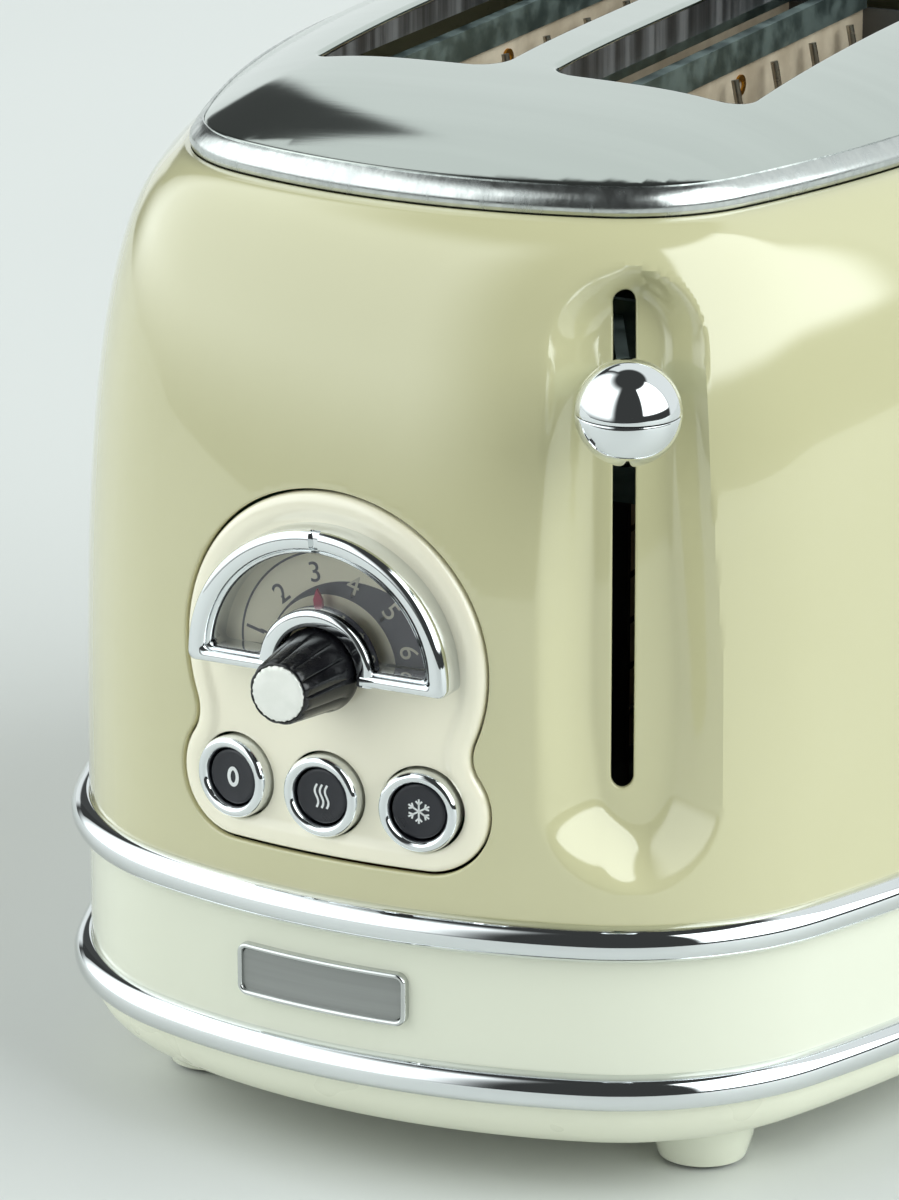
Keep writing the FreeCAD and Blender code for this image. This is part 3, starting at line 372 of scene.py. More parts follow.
class Graph:
    """Short calls for a node tree."""

    def __init__(self, tree):
        self.tree = tree

    def feed(self, socket, value):
        """Links the socket to another, or sets a plain value on it."""
        if isinstance(value, bpy.types.NodeSocket):
            self.tree.links.new(value, socket)
        else:
            socket.default_value = value

    def node(self, kind, **inputs):
        made = self.tree.nodes.new(kind)
        for key, value in inputs.items():
            self.feed(made.inputs[key.replace("_", " ")], value)
        return made

    def math(self, operation, *values):
        made = self.tree.nodes.new("ShaderNodeMath")
        made.operation = operation
        for socket, value in zip(made.inputs, values):
            self.feed(socket, value)
        return made.outputs[0]

    def ramp(self, value, low, high, to_low=0.0, to_high=1.0):
        made = self.node("ShaderNodeMapRange", Value=value, From_Min=low, From_Max=high, To_Min=to_low,
                         To_Max=to_high)
        made.interpolation_type = "SMOOTHSTEP"
        return made.outputs["Result"]

    def noise(self, scale, detail, stretch):
        place = self.node("ShaderNodeTexCoord").outputs["Object"]
        mapping = self.node("ShaderNodeMapping", Vector=place, Scale=stretch)
        made = self.node("ShaderNodeTexNoise", Vector=mapping.outputs["Vector"], Scale=scale, Detail=detail,
                         Roughness=0.55)
        return made.outputs["Fac"]

    def mix(self, fac, a, b):
        made = self.tree.nodes.new("ShaderNodeMix")
        made.data_type = "RGBA"
        for name, value in (("Factor", fac), ("A", a), ("B", b)):
            self.feed(next(s for s in made.inputs if s.name == name and s.enabled), value)
        return next(s for s in made.outputs if s.enabled)

    def link(self, a, b):
        self.tree.links.new(a, b)


def linear(colour):
    """A shader's colour from display values of 0 to 255."""
    return (*(v / 3294.6 if v <= 10.31 else ((v / 255 + 0.055) / 1.055) ** 2.4 for v in colour), 1.0)


def finish_of(name, colour, rough, metal=0.0, *, other, scale, stretch=(1, 1, 1), spread=0.5,
              rough_to=None, bump=0.0, bump_scale=800, bump_stretch=(1, 1, 1), detail=3.0, **sockets):
    """A surface whose colour, roughness and bump vary a little over it."""
    material = bpy.data.materials.new(name)
    material.use_nodes = True
    graph = Graph(material.node_tree)
    shader = material.node_tree.nodes["Principled BSDF"]
    shader.inputs["Metallic"].default_value = metal
    for key, value in sockets.items():
        shader.inputs[key.replace("_", " ")].default_value = value
    field = graph.noise(scale, detail, stretch)
    fac = graph.ramp(field, 0.5 - spread / 2, 0.5 + spread / 2)
    graph.link(graph.mix(fac, linear(colour), linear(other)), shader.inputs["Base Color"])
    high = rough_to if rough_to is not None else rough * 1.25
    graph.link(graph.ramp(field, 0.5 - spread / 2, 0.5 + spread / 2, rough, high), shader.inputs["Roughness"])
    if bump:
        relief_field = graph.noise(bump_scale, 2.0, bump_stretch)
        lump = graph.node("ShaderNodeBump", Strength=bump, Distance=0.0004, Height=relief_field)
        graph.link(lump.outputs["Normal"], shader.inputs["Normal"])
    return material


PAINT = finish_of("enamel_cream", (203, 199, 158), 0.09, other=(206, 202, 162), scale=14,
                  rough_to=0.12, bump=0.012, bump_scale=420, Coat_Weight=1.0, Coat_Roughness=0.03)
BAND = finish_of("enamel_pale", (228, 230, 211), 0.12, other=(230, 232, 214), scale=14,
                 rough_to=0.16, bump=0.01, bump_scale=420, Coat_Weight=0.6, Coat_Roughness=0.04)
BASE = finish_of("moulded_cream", (232, 233, 212), 0.24, other=(235, 236, 216), scale=30,
                 rough_to=0.36, bump=0.03, bump_scale=900)
PANEL = finish_of("panel_cream", (250, 244, 220), 0.14, other=(252, 246, 224), scale=22,
                  rough_to=0.22, bump=0.012, bump_scale=700, Coat_Weight=0.9, Coat_Roughness=0.05)
CAP = finish_of("satin_steel", (203, 209, 204), 0.06, 1.0, other=(199, 205, 200), scale=9,
                stretch=(1, 14, 1), rough_to=0.10, bump=0.008, bump_scale=260, bump_stretch=(0.3, 9, 2),
                detail=6)
RIM = finish_of("brushed_rim", (208, 211, 209), 0.16, 1.0, other=(188, 192, 191), scale=420,
                stretch=(1, 1, 0.12), rough_to=0.30, bump=0.05, bump_scale=900, bump_stretch=(1, 1, 0.08),
                detail=4)
LINER = finish_of("streaked_steel", (98, 98, 102), 0.32, 1.0, other=(160, 160, 162), scale=70,
                  stretch=(3, 3, 0.12), spread=0.35, rough_to=0.5, bump=0.12, bump_scale=900,
                  bump_stretch=(2, 2, 0.1), detail=6)
CHROME = finish_of("bright_chrome", (232, 235, 236), 0.025, 1.0, other=(226, 229, 231), scale=18,
                   rough_to=0.06, bump=0.004, bump_scale=300)
RUBBER = finish_of("black_rubber", (34, 34, 34), 0.75, other=(44, 43, 42), scale=90, bump=0.15)
BLACK = finish_of("black_plastic", (10, 10, 13), 0.16, other=(18, 18, 22), scale=160,
                  rough_to=0.3, bump=0.05, bump_scale=1400)
KEY_BLACK = finish_of("key_black", (24, 25, 32), 0.26, other=(34, 35, 43), scale=130,
                      rough_to=0.42, bump=0.03, bump_scale=1600)
DISC = finish_of("spun_silver", (240, 241, 234), 0.36, 0.25, other=(250, 250, 244), scale=240,
                 rough_to=0.45, bump=0.05, bump_scale=1800)
PRINT_BEIGE = finish_of("dial_beige", (252, 246, 220), 0.5, other=(254, 249, 226), scale=60)
PRINT_DARK = finish_of("dial_dark", (78, 77, 88), 0.5, other=(88, 87, 97), scale=60)
PRINT_PALE = finish_of("dial_pale", (214, 209, 190), 0.5, other=(222, 218, 200), scale=90)
KEY_WHITE = finish_of("key_print", (236, 238, 238), 0.45, other=(228, 230, 230), scale=200)
RED = finish_of("pointer_red", (186, 20, 78), 0.35, other=(198, 28, 86), scale=200)
BADGE_GREY = finish_of("badge_grey", (140, 142, 140), 0.34, 0.75, other=(156, 158, 156), scale=30,
                       stretch=(0.3, 1, 12), rough_to=0.5, bump=0.05, bump_scale=900,
                       bump_stretch=(0.3, 1, 12))
BADGE_SILVER = finish_of("badge_silver", (208, 210, 208), 0.12, 1.0, other=(196, 198, 197), scale=80,
                         rough_to=0.2)
ZINC = finish_of("galvanised", (120, 140, 138), 0.30, 0.9, other=(152, 170, 167), scale=140,
                 rough_to=0.5, spread=0.3, bump=0.08, bump_scale=700, detail=5)
MICA = finish_of("mica", (198, 182, 158), 0.45, other=(236, 222, 198), scale=55, spread=0.35,
                 rough_to=0.7, bump=0.2, bump_scale=500, detail=8)
WIRE = finish_of("steel_wire", (176, 172, 164), 0.22, 1.0, other=(120, 112, 104), scale=120,
                 rough_to=0.4)
BRASS = finish_of("brass", (201, 150, 60), 0.24, 1.0, other=(176, 122, 44), scale=300, rough_to=0.4)
COPPER = finish_of("copper_coil", (186, 104, 62), 0.3, 1.0, other=(150, 80, 46), scale=400,
                   stretch=(1, 1, 6), rough_to=0.45)
GREEN = finish_of("circuit_green", (34, 88, 56), 0.35, other=(44, 104, 66), scale=260, rough_to=0.5)
DARK_STEEL = finish_of("dark_steel", (96, 97, 98), 0.4, 0.8, other=(122, 123, 124), scale=40,
                       rough_to=0.6)
RIBBON = finish_of("heater_ribbon", (148, 128, 112), 0.35, 1.0, other=(104, 88, 80), scale=200,
                   rough_to=0.5)


def clear_pane():
    """Clear plastic: see through, with a mirror gloss that grows at a slant."""
    material = bpy.data.materials.new("clear_window")
    material.use_nodes = True
    graph = Graph(material.node_tree)
    tree = material.node_tree
    tree.nodes.remove(tree.nodes["Principled BSDF"])
    through = graph.node("ShaderNodeBsdfTransparent", Color=(0.99, 0.99, 0.99, 1))
    gloss = graph.node("ShaderNodeBsdfAnisotropic", Roughness=0.04)
    fresnel = graph.node("ShaderNodeFresnel", IOR=1.45)
    mix = tree.nodes.new("ShaderNodeMixShader")
    graph.link(fresnel.outputs["Fac"], mix.inputs["Fac"])
    graph.link(through.outputs[0], mix.inputs[1])
    graph.link(gloss.outputs[0], mix.inputs[2])
    graph.link(mix.outputs[0], tree.nodes["Material Output"].inputs["Surface"])
    return material


CLEAR = clear_pane()

SLOT_FINISH = {
    "body_paint": PAINT, "band_paint": BAND, "base_plastic": BASE, "panel_plastic": PANEL,
    "steel_cap": CAP, "liner_steel": LINER, "chrome_trim": CHROME, "rubber": RUBBER, "clear": CLEAR,
    "dial_print": PRINT_BEIGE, "pointer_red": RED, "black_plastic": BLACK, "silver_disc": DISC,
    "badge_grey": BADGE_GREY, "badge_silver": BADGE_SILVER, "board_green": GREEN,
    "switch_black": BLACK, "zinc_steel": ZINC, "wire_chrome": WIRE, "copper_coil": COPPER,
    "mica": MICA, "brass": BRASS,
}
for part in frame["record"]["subparts"]:
    kept = NODES[part["node"]]
    kept.data.materials.clear()
    kept.data.materials.append(SLOT_FINISH[part["material_slot"]])
for name in ("front_plate", "rear_plate", "side_reflector_left", "side_reflector_right"):
    NODES[name].data.materials[0] = DARK_STEEL

# ---- body shell

LEVER_TURN = 28 * DEG
LEVER_OUT = np.array([math.sin(LEVER_TURN), -math.cos(LEVER_TURN)])
LEVER_SIDE = np.array([math.cos(LEVER_TURN), math.sin(LEVER_TURN)])
LEVER_ROOT = CORNER - 1.3 * LEVER_SIDE
LEVER_U = float(np.interp(LEVER_TURN, TURNS, LENGTHS))

# the pressed trough, and the slot in it: half width, lowest and highest end
TROUGH_DEPTH, TROUGH_LOW, TROUGH_HIGH = 8.4, 64, 181
LEVER_SLOT = (2.5, 82, 175.5)

# the panel's outline, and the gap round it
PANEL_GAP = 0.6
PANEL_X = -5.0
DISC_Z, DISC_R = 103.8, 32.2
LOBE_X, LOBE_Z, LOBE_R, WAIST_R = 21.0, 77.5, 12.0, 8.0


def stadium(side, z, half, low, high):
    """Distance inside an upright slot with round ends."""
    mid = np.clip(z, low + half, high - half)
    return half - np.hypot(side, z - mid)


def panel_inside(x, z):
    """Distance inside the panel's outline: a disc over a bar, with hollow waists."""
    px = np.abs(x - PANEL_X)
    disc = DISC_R - np.hypot(px, z - DISC_Z)
    bar = LOBE_R - np.hypot(px - np.clip(px, 0, LOBE_X), z - LOBE_Z)
    near, far = DISC_R + WAIST_R, LOBE_R + WAIST_R
    top, lobe = np.array([0, DISC_Z]), np.array([LOBE_X, LOBE_Z])
    span = np.linalg.norm(lobe - top)
    unit = (lobe - top) / span
    along = (near ** 2 - far ** 2 + span ** 2) / (2 * span)
    aside = math.sqrt(near ** 2 - along ** 2)
    hollow = top + unit * along + np.array([-unit[1], unit[0]]) * aside

    def beside(a, b):
        return (b[0] - a[0]) * (z - a[1]) - (b[1] - a[1]) * (px - a[0])

    sides = [beside(top, lobe), beside(lobe, hollow), beside(hollow, top)]
    in_waist = (sides[0] >= 0) & (sides[1] >= 0) & (sides[2] >= 0)
    waist = np.hypot(px - hollow[0], z - hollow[1]) - WAIST_R
    return np.where(in_waist, np.minimum(waist, np.maximum(disc, waist)), np.maximum(disc, bar))


def lever_side(u, z):
    """Offsets of a point of the skin from the lever's axis, across it and outward."""
    x, y, _, _ = plan(u, shoulder(z))
    side = (x - LEVER_ROOT[0]) * LEVER_SIDE[0] + (y - LEVER_ROOT[1]) * LEVER_SIDE[1]
    ahead = (x - LEVER_ROOT[0]) * LEVER_OUT[0] + (y - LEVER_ROOT[1]) * LEVER_OUT[1]
    return side, ahead


def trough_depth(u, z):
    """Depth of the pressed lever trough under the skin."""
    side, ahead = lever_side(u, z)
    side = side - 1.2 * smooth_step(150, 90, z)
    inside = stadium(side, z, 14.8 + 2.6 * smooth_step(172, 100, z), TROUGH_LOW, TROUGH_HIGH)
    leftward = smooth_step(5, -5, side)
    blend = 7.0 + 3.0 * leftward + 4.0 * smooth_step(100, 66, z)
    t = np.clip(inside / blend, 0, 1)
    crisp = 1 - (1 - t) ** 2.3 * (1 + 1.3 * t)
    deep = crisp + (t * t * (3 - 2 * t) - crisp) * leftward * 0.8
    return np.where(ahead > 0, TROUGH_DEPTH * deep, 0)


def shell_place(u, v, drop):
    x, y, _, _ = plan(u, shoulder(v) + trough_depth(u, v) + drop)
    return x, y, v


def shell_inside(u, v):
    side, ahead = lever_side(u, v)
    slot = np.where(ahead > 0, -stadium(side, v, *LEVER_SLOT), FAR_OFF)
    x, y, _, _ = plan(u, shoulder(v))
    panel = np.where(y < -HALF_Y, -panel_inside(x, v) - PANEL_GAP, FAR_OFF)
    return np.minimum(slot, panel)


shell_us = around(4.0, [(-62, LEVER_U - 24, 1.25), (LEVER_U - 24, LEVER_U + 24, 0.7)])
shell_vs = np.concatenate([np.arange(RING_HIGH, TROUGH_LOW, 1.2),
                           np.linspace(TROUGH_LOW, 90, 32, endpoint=False),
                           np.linspace(90, 160, 46, endpoint=False), np.linspace(160, 187.8, 30)])
settle(relief("shell_skin", shell_us, shell_vs, shell_inside, shell_place, 1.2, PAINT, reach=0.45,
              wrap=True), "body_paint", "body_shell")

# ---- cap

CAP_EDGE, CAP_TOP, CROWN, CROWN_POWER = 24.8, 204, 10.5, 4.5
CAP_SOFT, SLOT_SOFT = 1.6, 0.9
SLOT_X, SLOT_HALF_WIDTH, SLOT_HALF_LENGTH, SLOT_CORNER = 25.75, 20.55, 72.4, 6.0
RIM_INSET, RIM_Z, RIM_DEEP, RIM_HIGH = 23.1, 190.4, 1.6, 2.9


def scale_of(x, y):
    """How large a copy of the cap's edge outline passes through the point."""
    turn = np.arctan2(x, -y)
    return np.hypot(x, y) / np.interp(turn, EDGE_TURN, EDGE_REACH)


_ex, _ey, _, _ = plan_base(TURNS)
_ex, _ey = _ex - CAP_EDGE * np.sin(TURNS), _ey + CAP_EDGE * np.cos(TURNS)
EDGE_TURN = np.arctan2(_ex, -_ey)
EDGE_REACH = np.hypot(_ex, _ey)
EDGE_TURN[0], EDGE_TURN[-1] = -math.pi, math.pi


def slot_space(x, y):
    """Distance inside the nearer bread slot."""
    return rounded_box(np.abs(x) - SLOT_X, y, SLOT_HALF_WIDTH, SLOT_HALF_LENGTH, SLOT_CORNER)


def cap_inside(x, y):
    return np.minimum(inset_of(x, y) - CAP_EDGE + CAP_SOFT, -slot_space(x, y))


def cap_reach(x, y):
    return np.where(inset_of(x, y) - CAP_EDGE < -slot_space(x, y), CAP_SOFT, SLOT_SOFT)


def cap_place(x, y, drop):
    return x, y, CAP_TOP - CROWN * np.minimum(scale_of(x, y), 1.02) ** CROWN_POWER - drop


def grid_lines(reach, *fine):
    """Grid lines on both sides of the middle, closer together in the fine stretches."""
    lines = [np.arange(-reach, reach + 0.1, 2.5)]
    for low, high in fine:
        lines += [np.arange(low, high, 0.7), -np.arange(low, high, 0.7)]
    return np.unique(np.concatenate(lines))


settle(relief("cap_crown", grid_lines(75, (3, 8), (43, 49)), grid_lines(120, (64, 75)), cap_inside,
              cap_place, 1.3, CAP, reach=cap_reach), "steel_cap", "top_cap")
rim_profile = [(CAP_EDGE - 0.9, 193.3)]
for angle in range(15, 181, 15):
    across, up = math.sin(angle * DEG), math.cos(angle * DEG)
    inward = RIM_DEEP * (up * (1 if angle < 90 else 0.3) - across)
    rim_profile.append((RIM_INSET + inward, RIM_Z + RIM_HIGH * up))
rim_profile += [(23.4, 187.8), (24.2, 189), (CAP_EDGE, 191.9)]
settle(sweep("cap_rim", rim_profile, RIM, spacing=1.6, sharp=40), "steel_cap")

# ---- rings, band, tray, feet

for name, z in (("upper_trim_ring", RING_HIGH), ("lower_trim_ring", RING_LOW)):
    half_round = [(-RING_R * math.cos(a * DEG), z + RING_R * math.sin(a * DEG)) for a in range(-90, 91, 10)]
    settle(sweep(name + "_bright", half_round + [(0.6, z + 3.2), (0.6, z - 3.2)], CHROME, spacing=1.2,
                 sharp=60), "chrome_trim", name)

# the crumb tray's gate: half width, middle height, half height and corner; then the cord inlet
GATE_X, GATE_Z, GATE_HALF, GATE_CORNER = 51.6, 39.0, 7.5, 1.0
INLET_TURN, INLET_Z, INLET_R = 40 * DEG, 39.5, 6
inlet_x = CORNER[0] + CORNER_R * math.sin(INLET_TURN)
inlet_y = -CORNER[1] + CORNER_R * math.cos(INLET_TURN)


def band_inside(u, v):
    x, y, _, _ = plan(u, 0)
    gate = -rounded_box(x, v - GATE_Z, GATE_X, GATE_HALF, GATE_CORNER)
    along = (x - inlet_x) * math.cos(INLET_TURN) - (y - inlet_y) * math.sin(INLET_TURN)
    inlet = np.where(x > 0, np.hypot(along, v - INLET_Z) - INLET_R, FAR_OFF)
    return np.where(y > HALF_Y, np.minimum(gate, inlet), FAR_OFF)


def band_place(u, v, drop):
    x, y, _, _ = plan(u, drop)
    return x, y, v


WALL, TRAY_IN = 2.5, 16
settle(relief("band_skin", around(2.2), np.linspace(RING_LOW, RING_HIGH, 24), band_inside, band_place, WALL,
              BAND, reach=0.5, wrap=True), "band_paint", "base_band")

outer, inner = [(0.0, RING_LOW)], [(WALL, RING_LOW)]
for angle in range(0, 91, 9):
    lean, down = TRAY_IN * (1 - math.cos(angle * DEG)), math.sin(angle * DEG)
    outer.append((lean, 21 - 11.5 * down))
    inner.append((WALL + lean, 22 - 10 * down))
settle(sweep("tray_bowl", outer[::-1] + inner, BASE, spacing=2.4, cap=True), "base_plastic",
       "base_tray")

FOOT_X, FOOT_Y = 54, 101
FOOT_PROFILE = [(0, 2.6), (6.9, 2.6), (6.9, 0.9), (7.9, 0.8), (8.5, 1.05), (8.8, 1.7), (9.9, 5.4),
                (10.9, 8.7), (11.5, 9.8), (12.1, 10.6), (0, 10.6)]
PAD_PROFILE = [(0, 0), (6.2, 0), (6.6, 0.15), (6.75, 0.6), (6.75, 2.55), (0, 2.55)]
spots = [(FOOT_X * sx, FOOT_Y * sy, 0) for sx in (-1, 1) for sy in (-1, 1)]
feet = [lathe("foot", FOOT_PROFILE, BAND, centre=spot) for spot in spots]
pads = [lathe("pad", PAD_PROFILE, RUBBER, centre=spot) for spot in spots]
settle(fused("cone_feet", feet), "base_plastic", "feet")
settle(fused("rubber_pads", pads), "rubber", "foot_pads")

# ---- panel

RING_XS, KEY_Z, WELL_R = (-25.0, -5.0, 15.0), 77.8, 8.35
DIAL_Z, HUB_CUT_R = 103.0, 7.0
MOON_CUT, ARCH_CUT = (23.3, 104.6), (11.6, 101.9)   # radius and level foot of each opening
PANEL_RIM, FIELD_DROP = 0.5, 0.8


def end_skin(x, z, drop):
    """Depth coordinate of the skin of the curved end at x, z, moved in by the drop."""
    radius = END_R - shoulder(z) - drop
    return END_CENTRE[1] - np.sqrt(radius ** 2 - x ** 2)


def moon_space(x, z, radius, low):
    """Distance inside a disc of the dial cut off level at a height."""
    return np.minimum(radius - np.hypot(x - PANEL_X, z - DIAL_Z), z - low)


def panel_edges(x, z):
    """The panel's edge distances: outline, key wells, dial opening."""
    wells = [np.hypot(x - spot, z - KEY_Z) - WELL_R for spot in RING_XS]
    hub = np.hypot(x - PANEL_X, z - DIAL_Z) - HUB_CUT_R
    return [panel_inside(x, z), *wells, -moon_space(x, z, *MOON_CUT), hub, -moon_space(x, z, *ARCH_CUT)]


def panel_reach(x, z):
    edges = panel_edges(x, z)
    return np.where(edges[0] <= np.minimum.reduce(edges[1:]), 1.5, 0.35)


def panel_place(x, z, drop):
    field = smooth_step(3.2, 5.2, panel_inside(x, z)) * FIELD_DROP
    return x, end_skin(x, z, drop + field - PANEL_RIM), z


settle(relief("control_fascia", np.arange(-40, 30.1, 0.8), np.arange(64, 138, 0.8),
              lambda x, z: np.minimum.reduce(panel_edges(x, z)), panel_place, 2.4, PANEL, reach=panel_reach),
       "panel_plastic", "control_panel")

# ---- dial

def arc_points(cx, cz, radius, start, stop, count, ends=True):
    angles = np.linspace(start, stop, count, endpoint=ends) * DEG
    return [(cx + radius * math.cos(a), cz + radius * math.sin(a)) for a in angles]


def moon_half(radius, level, corner, bar_start, stops):
    """Right half of a half moon's edge, from the bar's start round its corner to the top."""
    low = level + corner
    reach = math.sqrt((radius - corner) ** 2 - low ** 2)
    meet = math.asin(low / (radius - corner)) / DEG
    bar = [(x, level) for x in np.linspace(bar_start, reach, 12, endpoint=False)]
    bend = arc_points(reach, low, corner, -90, meet, 10, False)
    arc = (meet + (90 - meet) * stops) * DEG
    return bar + bend + [(radius * math.cos(a), radius * math.sin(a)) for a in arc]


SINK_FRONT = -146.5


def strip(name, outer, inner, profile, material, sink=None):
    """A band between two open curves; profile is (share across, y) pairs, closed at its ends.

    sink says how much deeper each station's front lies.
    """
    points, faces = [], []
    width = len(profile)
    for n, (a, b) in enumerate(zip(outer, inner)):
        for share, y in profile:
            extra = sink[n] if sink is not None and 0.02 < share < 0.98 and y < SINK_FRONT else 0
            points.append((PANEL_X + a[0] + (b[0] - a[0]) * share, y + extra,
                           DIAL_Z + a[1] + (b[1] - a[1]) * share))
    for n in range(len(outer) - 1):
        for k in range(width):
            m = (k + 1) % width
            faces.append([n * width + k, n * width + m, (n + 1) * width + m, (n + 1) * width + k])
    faces.append(list(range(width)))
    faces.append([(len(outer) - 1) * width + k for k in range(width)])
    return mesh_object(name, points, faces, material, 55)


# the half moon frame, notched at its top, and the arch round the knob
ARCH_R, HUB_R = 12.0, 8.6
NOTCH = (0.9745, 0.9765)
stops = np.concatenate([np.linspace(0, 0.97, 46), NOTCH, [1.0]])
outer_half = moon_half(27.3, -1.5, 1.6, 9.6, stops)
inner_half = moon_half(22.6, 1.6, 1.0, 9.6, stops)
outer_path = outer_half + [(-x, z) for x, z in outer_half[-2::-1]]
inner_path = inner_half + [(-x, z) for x, z in inner_half[-2::-1]]
middle = len(outer_half) - 1
split = [1.0 if abs(n - middle) < 2 else 0.0 for n in range(len(outer_path))]
frame_section = [(0, -140.0), (0, -146.7), (0.03, -147.3), (0.09, -147.8), (0.18, -148.1), (0.36, -148.2),
                 (0.56, -148.15), (0.70, -147.95), (0.77, -147.6), (0.79, -147.0), (0.82, -146.95),
                 (0.85, -147.2), (0.92, -147.1), (0.97, -146.7), (1.0, -146.0), (1.0, -140.2)]
bezel = [strip("bezel_frame", outer_path, inner_path, frame_section, CHROME, split)]
arch_section = [(0, -144.35), (0, -147.1), (0.04, -147.55), (0.12, -147.85), (0.3, -148.0), (0.7, -148.0),
                (0.88, -147.85), (0.96, -147.55), (1, -147.1), (1, -144.35)]
bezel.append(strip("bezel_arch", arc_points(0, 0, ARCH_R, -7, 187, 72), arc_points(0, 0, HUB_R, -9, 189, 72),
                   arch_section, CHROME))
settle(fused("dial_bezel_bright", bezel), "chrome_trim", "dial_bezel")


def pane(name, radius, arch, low, y, thick, material, slot, node):
    """A flat half moon with an arch cut from its foot."""
    def inside(x, z):
        r = np.hypot(x - PANEL_X, z - DIAL_Z)
        return np.minimum(np.minimum(radius - r, z - low), r - arch)

    settle(relief(name, np.arange(-29, 19.1, 0.9), np.arange(103, 127.1, 0.9), inside,
                  lambda x, z, drop: (x, y + drop, z), thick, material, reach=0.15), slot, node)


FACE_Y, PRINT_RISE, PRINT_THICK = -141.2, 0.06, 0.1
PRINT_Y = FACE_Y - PRINT_RISE
pane("dial_pane", 22.9, 11.6, 104.3, -146.2, 0.9, CLEAR, "clear", "dial_window")
pane("dial_plate", 23.2, 8.0, 104.2, FACE_Y, 0.8, PRINT_BEIGE, "dial_print", "dial_face")


def print_strip(name, inner, outer, start, stop, material, steps=48):
    """A thin printed shape on the dial between two radii that vary with the angle."""
    angles = np.linspace(start, stop, steps)
    points, faces = [], []
    for y in (PRINT_Y, PRINT_Y + PRINT_THICK):
        for pick in (inner, outer):
            radii = np.array([pick(a) for a in angles])
            points.append(np.column_stack([PANEL_X + radii * np.cos(angles * DEG), y + 0 * radii,
                                           DIAL_Z + radii * np.sin(angles * DEG)]))
    n = steps
    for k in range(n - 1):
        faces += [[k, k + 1, n + k + 1, n + k], [2 * n + k, 3 * n + k, 3 * n + k + 1, 2 * n + k + 1],
                  [k, 2 * n + k, 2 * n + k + 1, k + 1], [n + k, n + k + 1, 3 * n + k + 1, 3 * n + k]]
    faces += [[0, n, 3 * n, 2 * n], [n - 1, 3 * n - 1, 4 * n - 1, 2 * n - 1]]
    settle(mesh_object(name, np.vstack(points), faces, material), "dial_print")


print_strip("dial_crescent", lambda a: 13.0 + 0.7 * (150 - a) / 140,
            lambda a: min(21.6, 13.3 + 8.3 * max(0, (150 - a) / 115) ** 1.9), 5, 149, PRINT_DARK)
print_strip("dial_arc", lambda a: 18.6 + 2.9 * ((175 - a) / 80) ** 0.8,
            lambda a: 19.0 + 2.9 * ((175 - a) / 80) ** 0.8, 96, 174.9, PRINT_DARK)


DIGIT_SIZE = 5.6


def raised_digit(digit, place, material):
    """A generic numeral as a thin mesh; place turns (x, y) of the text into the frame."""
    name = "dial_digit_" + digit
    curve = bpy.data.curves.new(name, "FONT")
    curve.body = digit
    curve.align_x, curve.align_y = "CENTER", "CENTER"
    curve.size = DIGIT_SIZE * MM
    curve.extrude = PRINT_THICK / 2 * MM
    holder = bpy.data.objects.new(name + "_text", curve)
    scene.collection.objects.link(holder)
    bpy.context.view_layer.update()
    mesh = bpy.data.meshes.new_from_object(holder.evaluated_get(bpy.context.evaluated_depsgraph_get()))
    bpy.data.objects.remove(holder)
    mesh.transform(place)
    mesh.name = name
    mesh.materials.clear()
    mesh.materials.append(material)
    made = bpy.data.objects.new(name, mesh)
    scene.collection.objects.link(made)
    settle(made, "dial_print")


def dial_place(angle, radius):
    """Frame matrix for text on the dial, its foot towards the centre."""
    aside, up = radius * math.cos(angle * DEG), radius * math.sin(angle * DEG)
    spot = Vector((PANEL_X + aside, PRINT_Y, DIAL_Z + up))
    stand = Matrix.Rotation(math.pi / 2, 4, "X")
    turn = Matrix.Rotation(-(angle - 90) * DEG, 4, "Y")
    return Matrix.Translation(spot * MM) @ turn @ stand


for digit, angle, radius, material in (("1", 165, 16.4, PRINT_DARK), ("2", 131, 15.9, PRINT_DARK),
                                       ("3", 101, 17.4, PRINT_DARK), ("4", 73, 16.4, PRINT_PALE),
                                       ("5", 43, 17.2, PRINT_PALE), ("6", 15, 16.8, PRINT_PALE)):
    raised_digit(digit, dial_place(angle, radius), material)
for number, (angle, material) in enumerate(((164, PRINT_DARK), (132, PRINT_DARK), (72, PRINT_PALE),
                                            (43, PRINT_PALE))):
    print_strip(f"dial_tick_{number}", lambda a: 14.2, lambda a: 15.6, angle - 0.9, angle + 0.9, material, 3)

# pointer, knob
ON_DIAL = {"centre": (PANEL_X, 0, DIAL_Z), "axis": (0, -1, 0)}
needle = [(-0.9, 5.5), (0.9, 5.5), (0.9, 13.0), (0.0, 15.0), (-0.9, 13.0)]
lean = 6 * DEG
points = [(PANEL_X + x * math.cos(lean) - z * math.sin(lean), y,
           DIAL_Z + x * math.sin(lean) + z * math.cos(lean)) for y in (-144.0, -143.3) for x, z in needle]
faces = [[0, 1, 2, 3, 4], [9, 8, 7, 6, 5]] + [[k, (k + 1) % 5, 5 + (k + 1) % 5, 5 + k] for k in range(5)]
red = mesh_object("red_needle", points, faces, RED)
plate = lathe("pointer_plate", [(3.1, 143.3), (6.6, 143.3), (6.6, 143.9), (3.1, 143.9)], RED, **ON_DIAL)
settle(fused("pointer_needle", [red, plate]), "pointer_red", "dial_pointer", body="knob")


def flutes(angle, height, radius):
    """Grip flutes that run out near both ends of the knob."""
    depth = 0.55 * smooth_step(147.2, 149.5, height) * smooth_step(162.6, 160.5, height)
    wave = abs(math.sin(6 * angle))
    return radius - depth * (1 - wave ** 0.45)


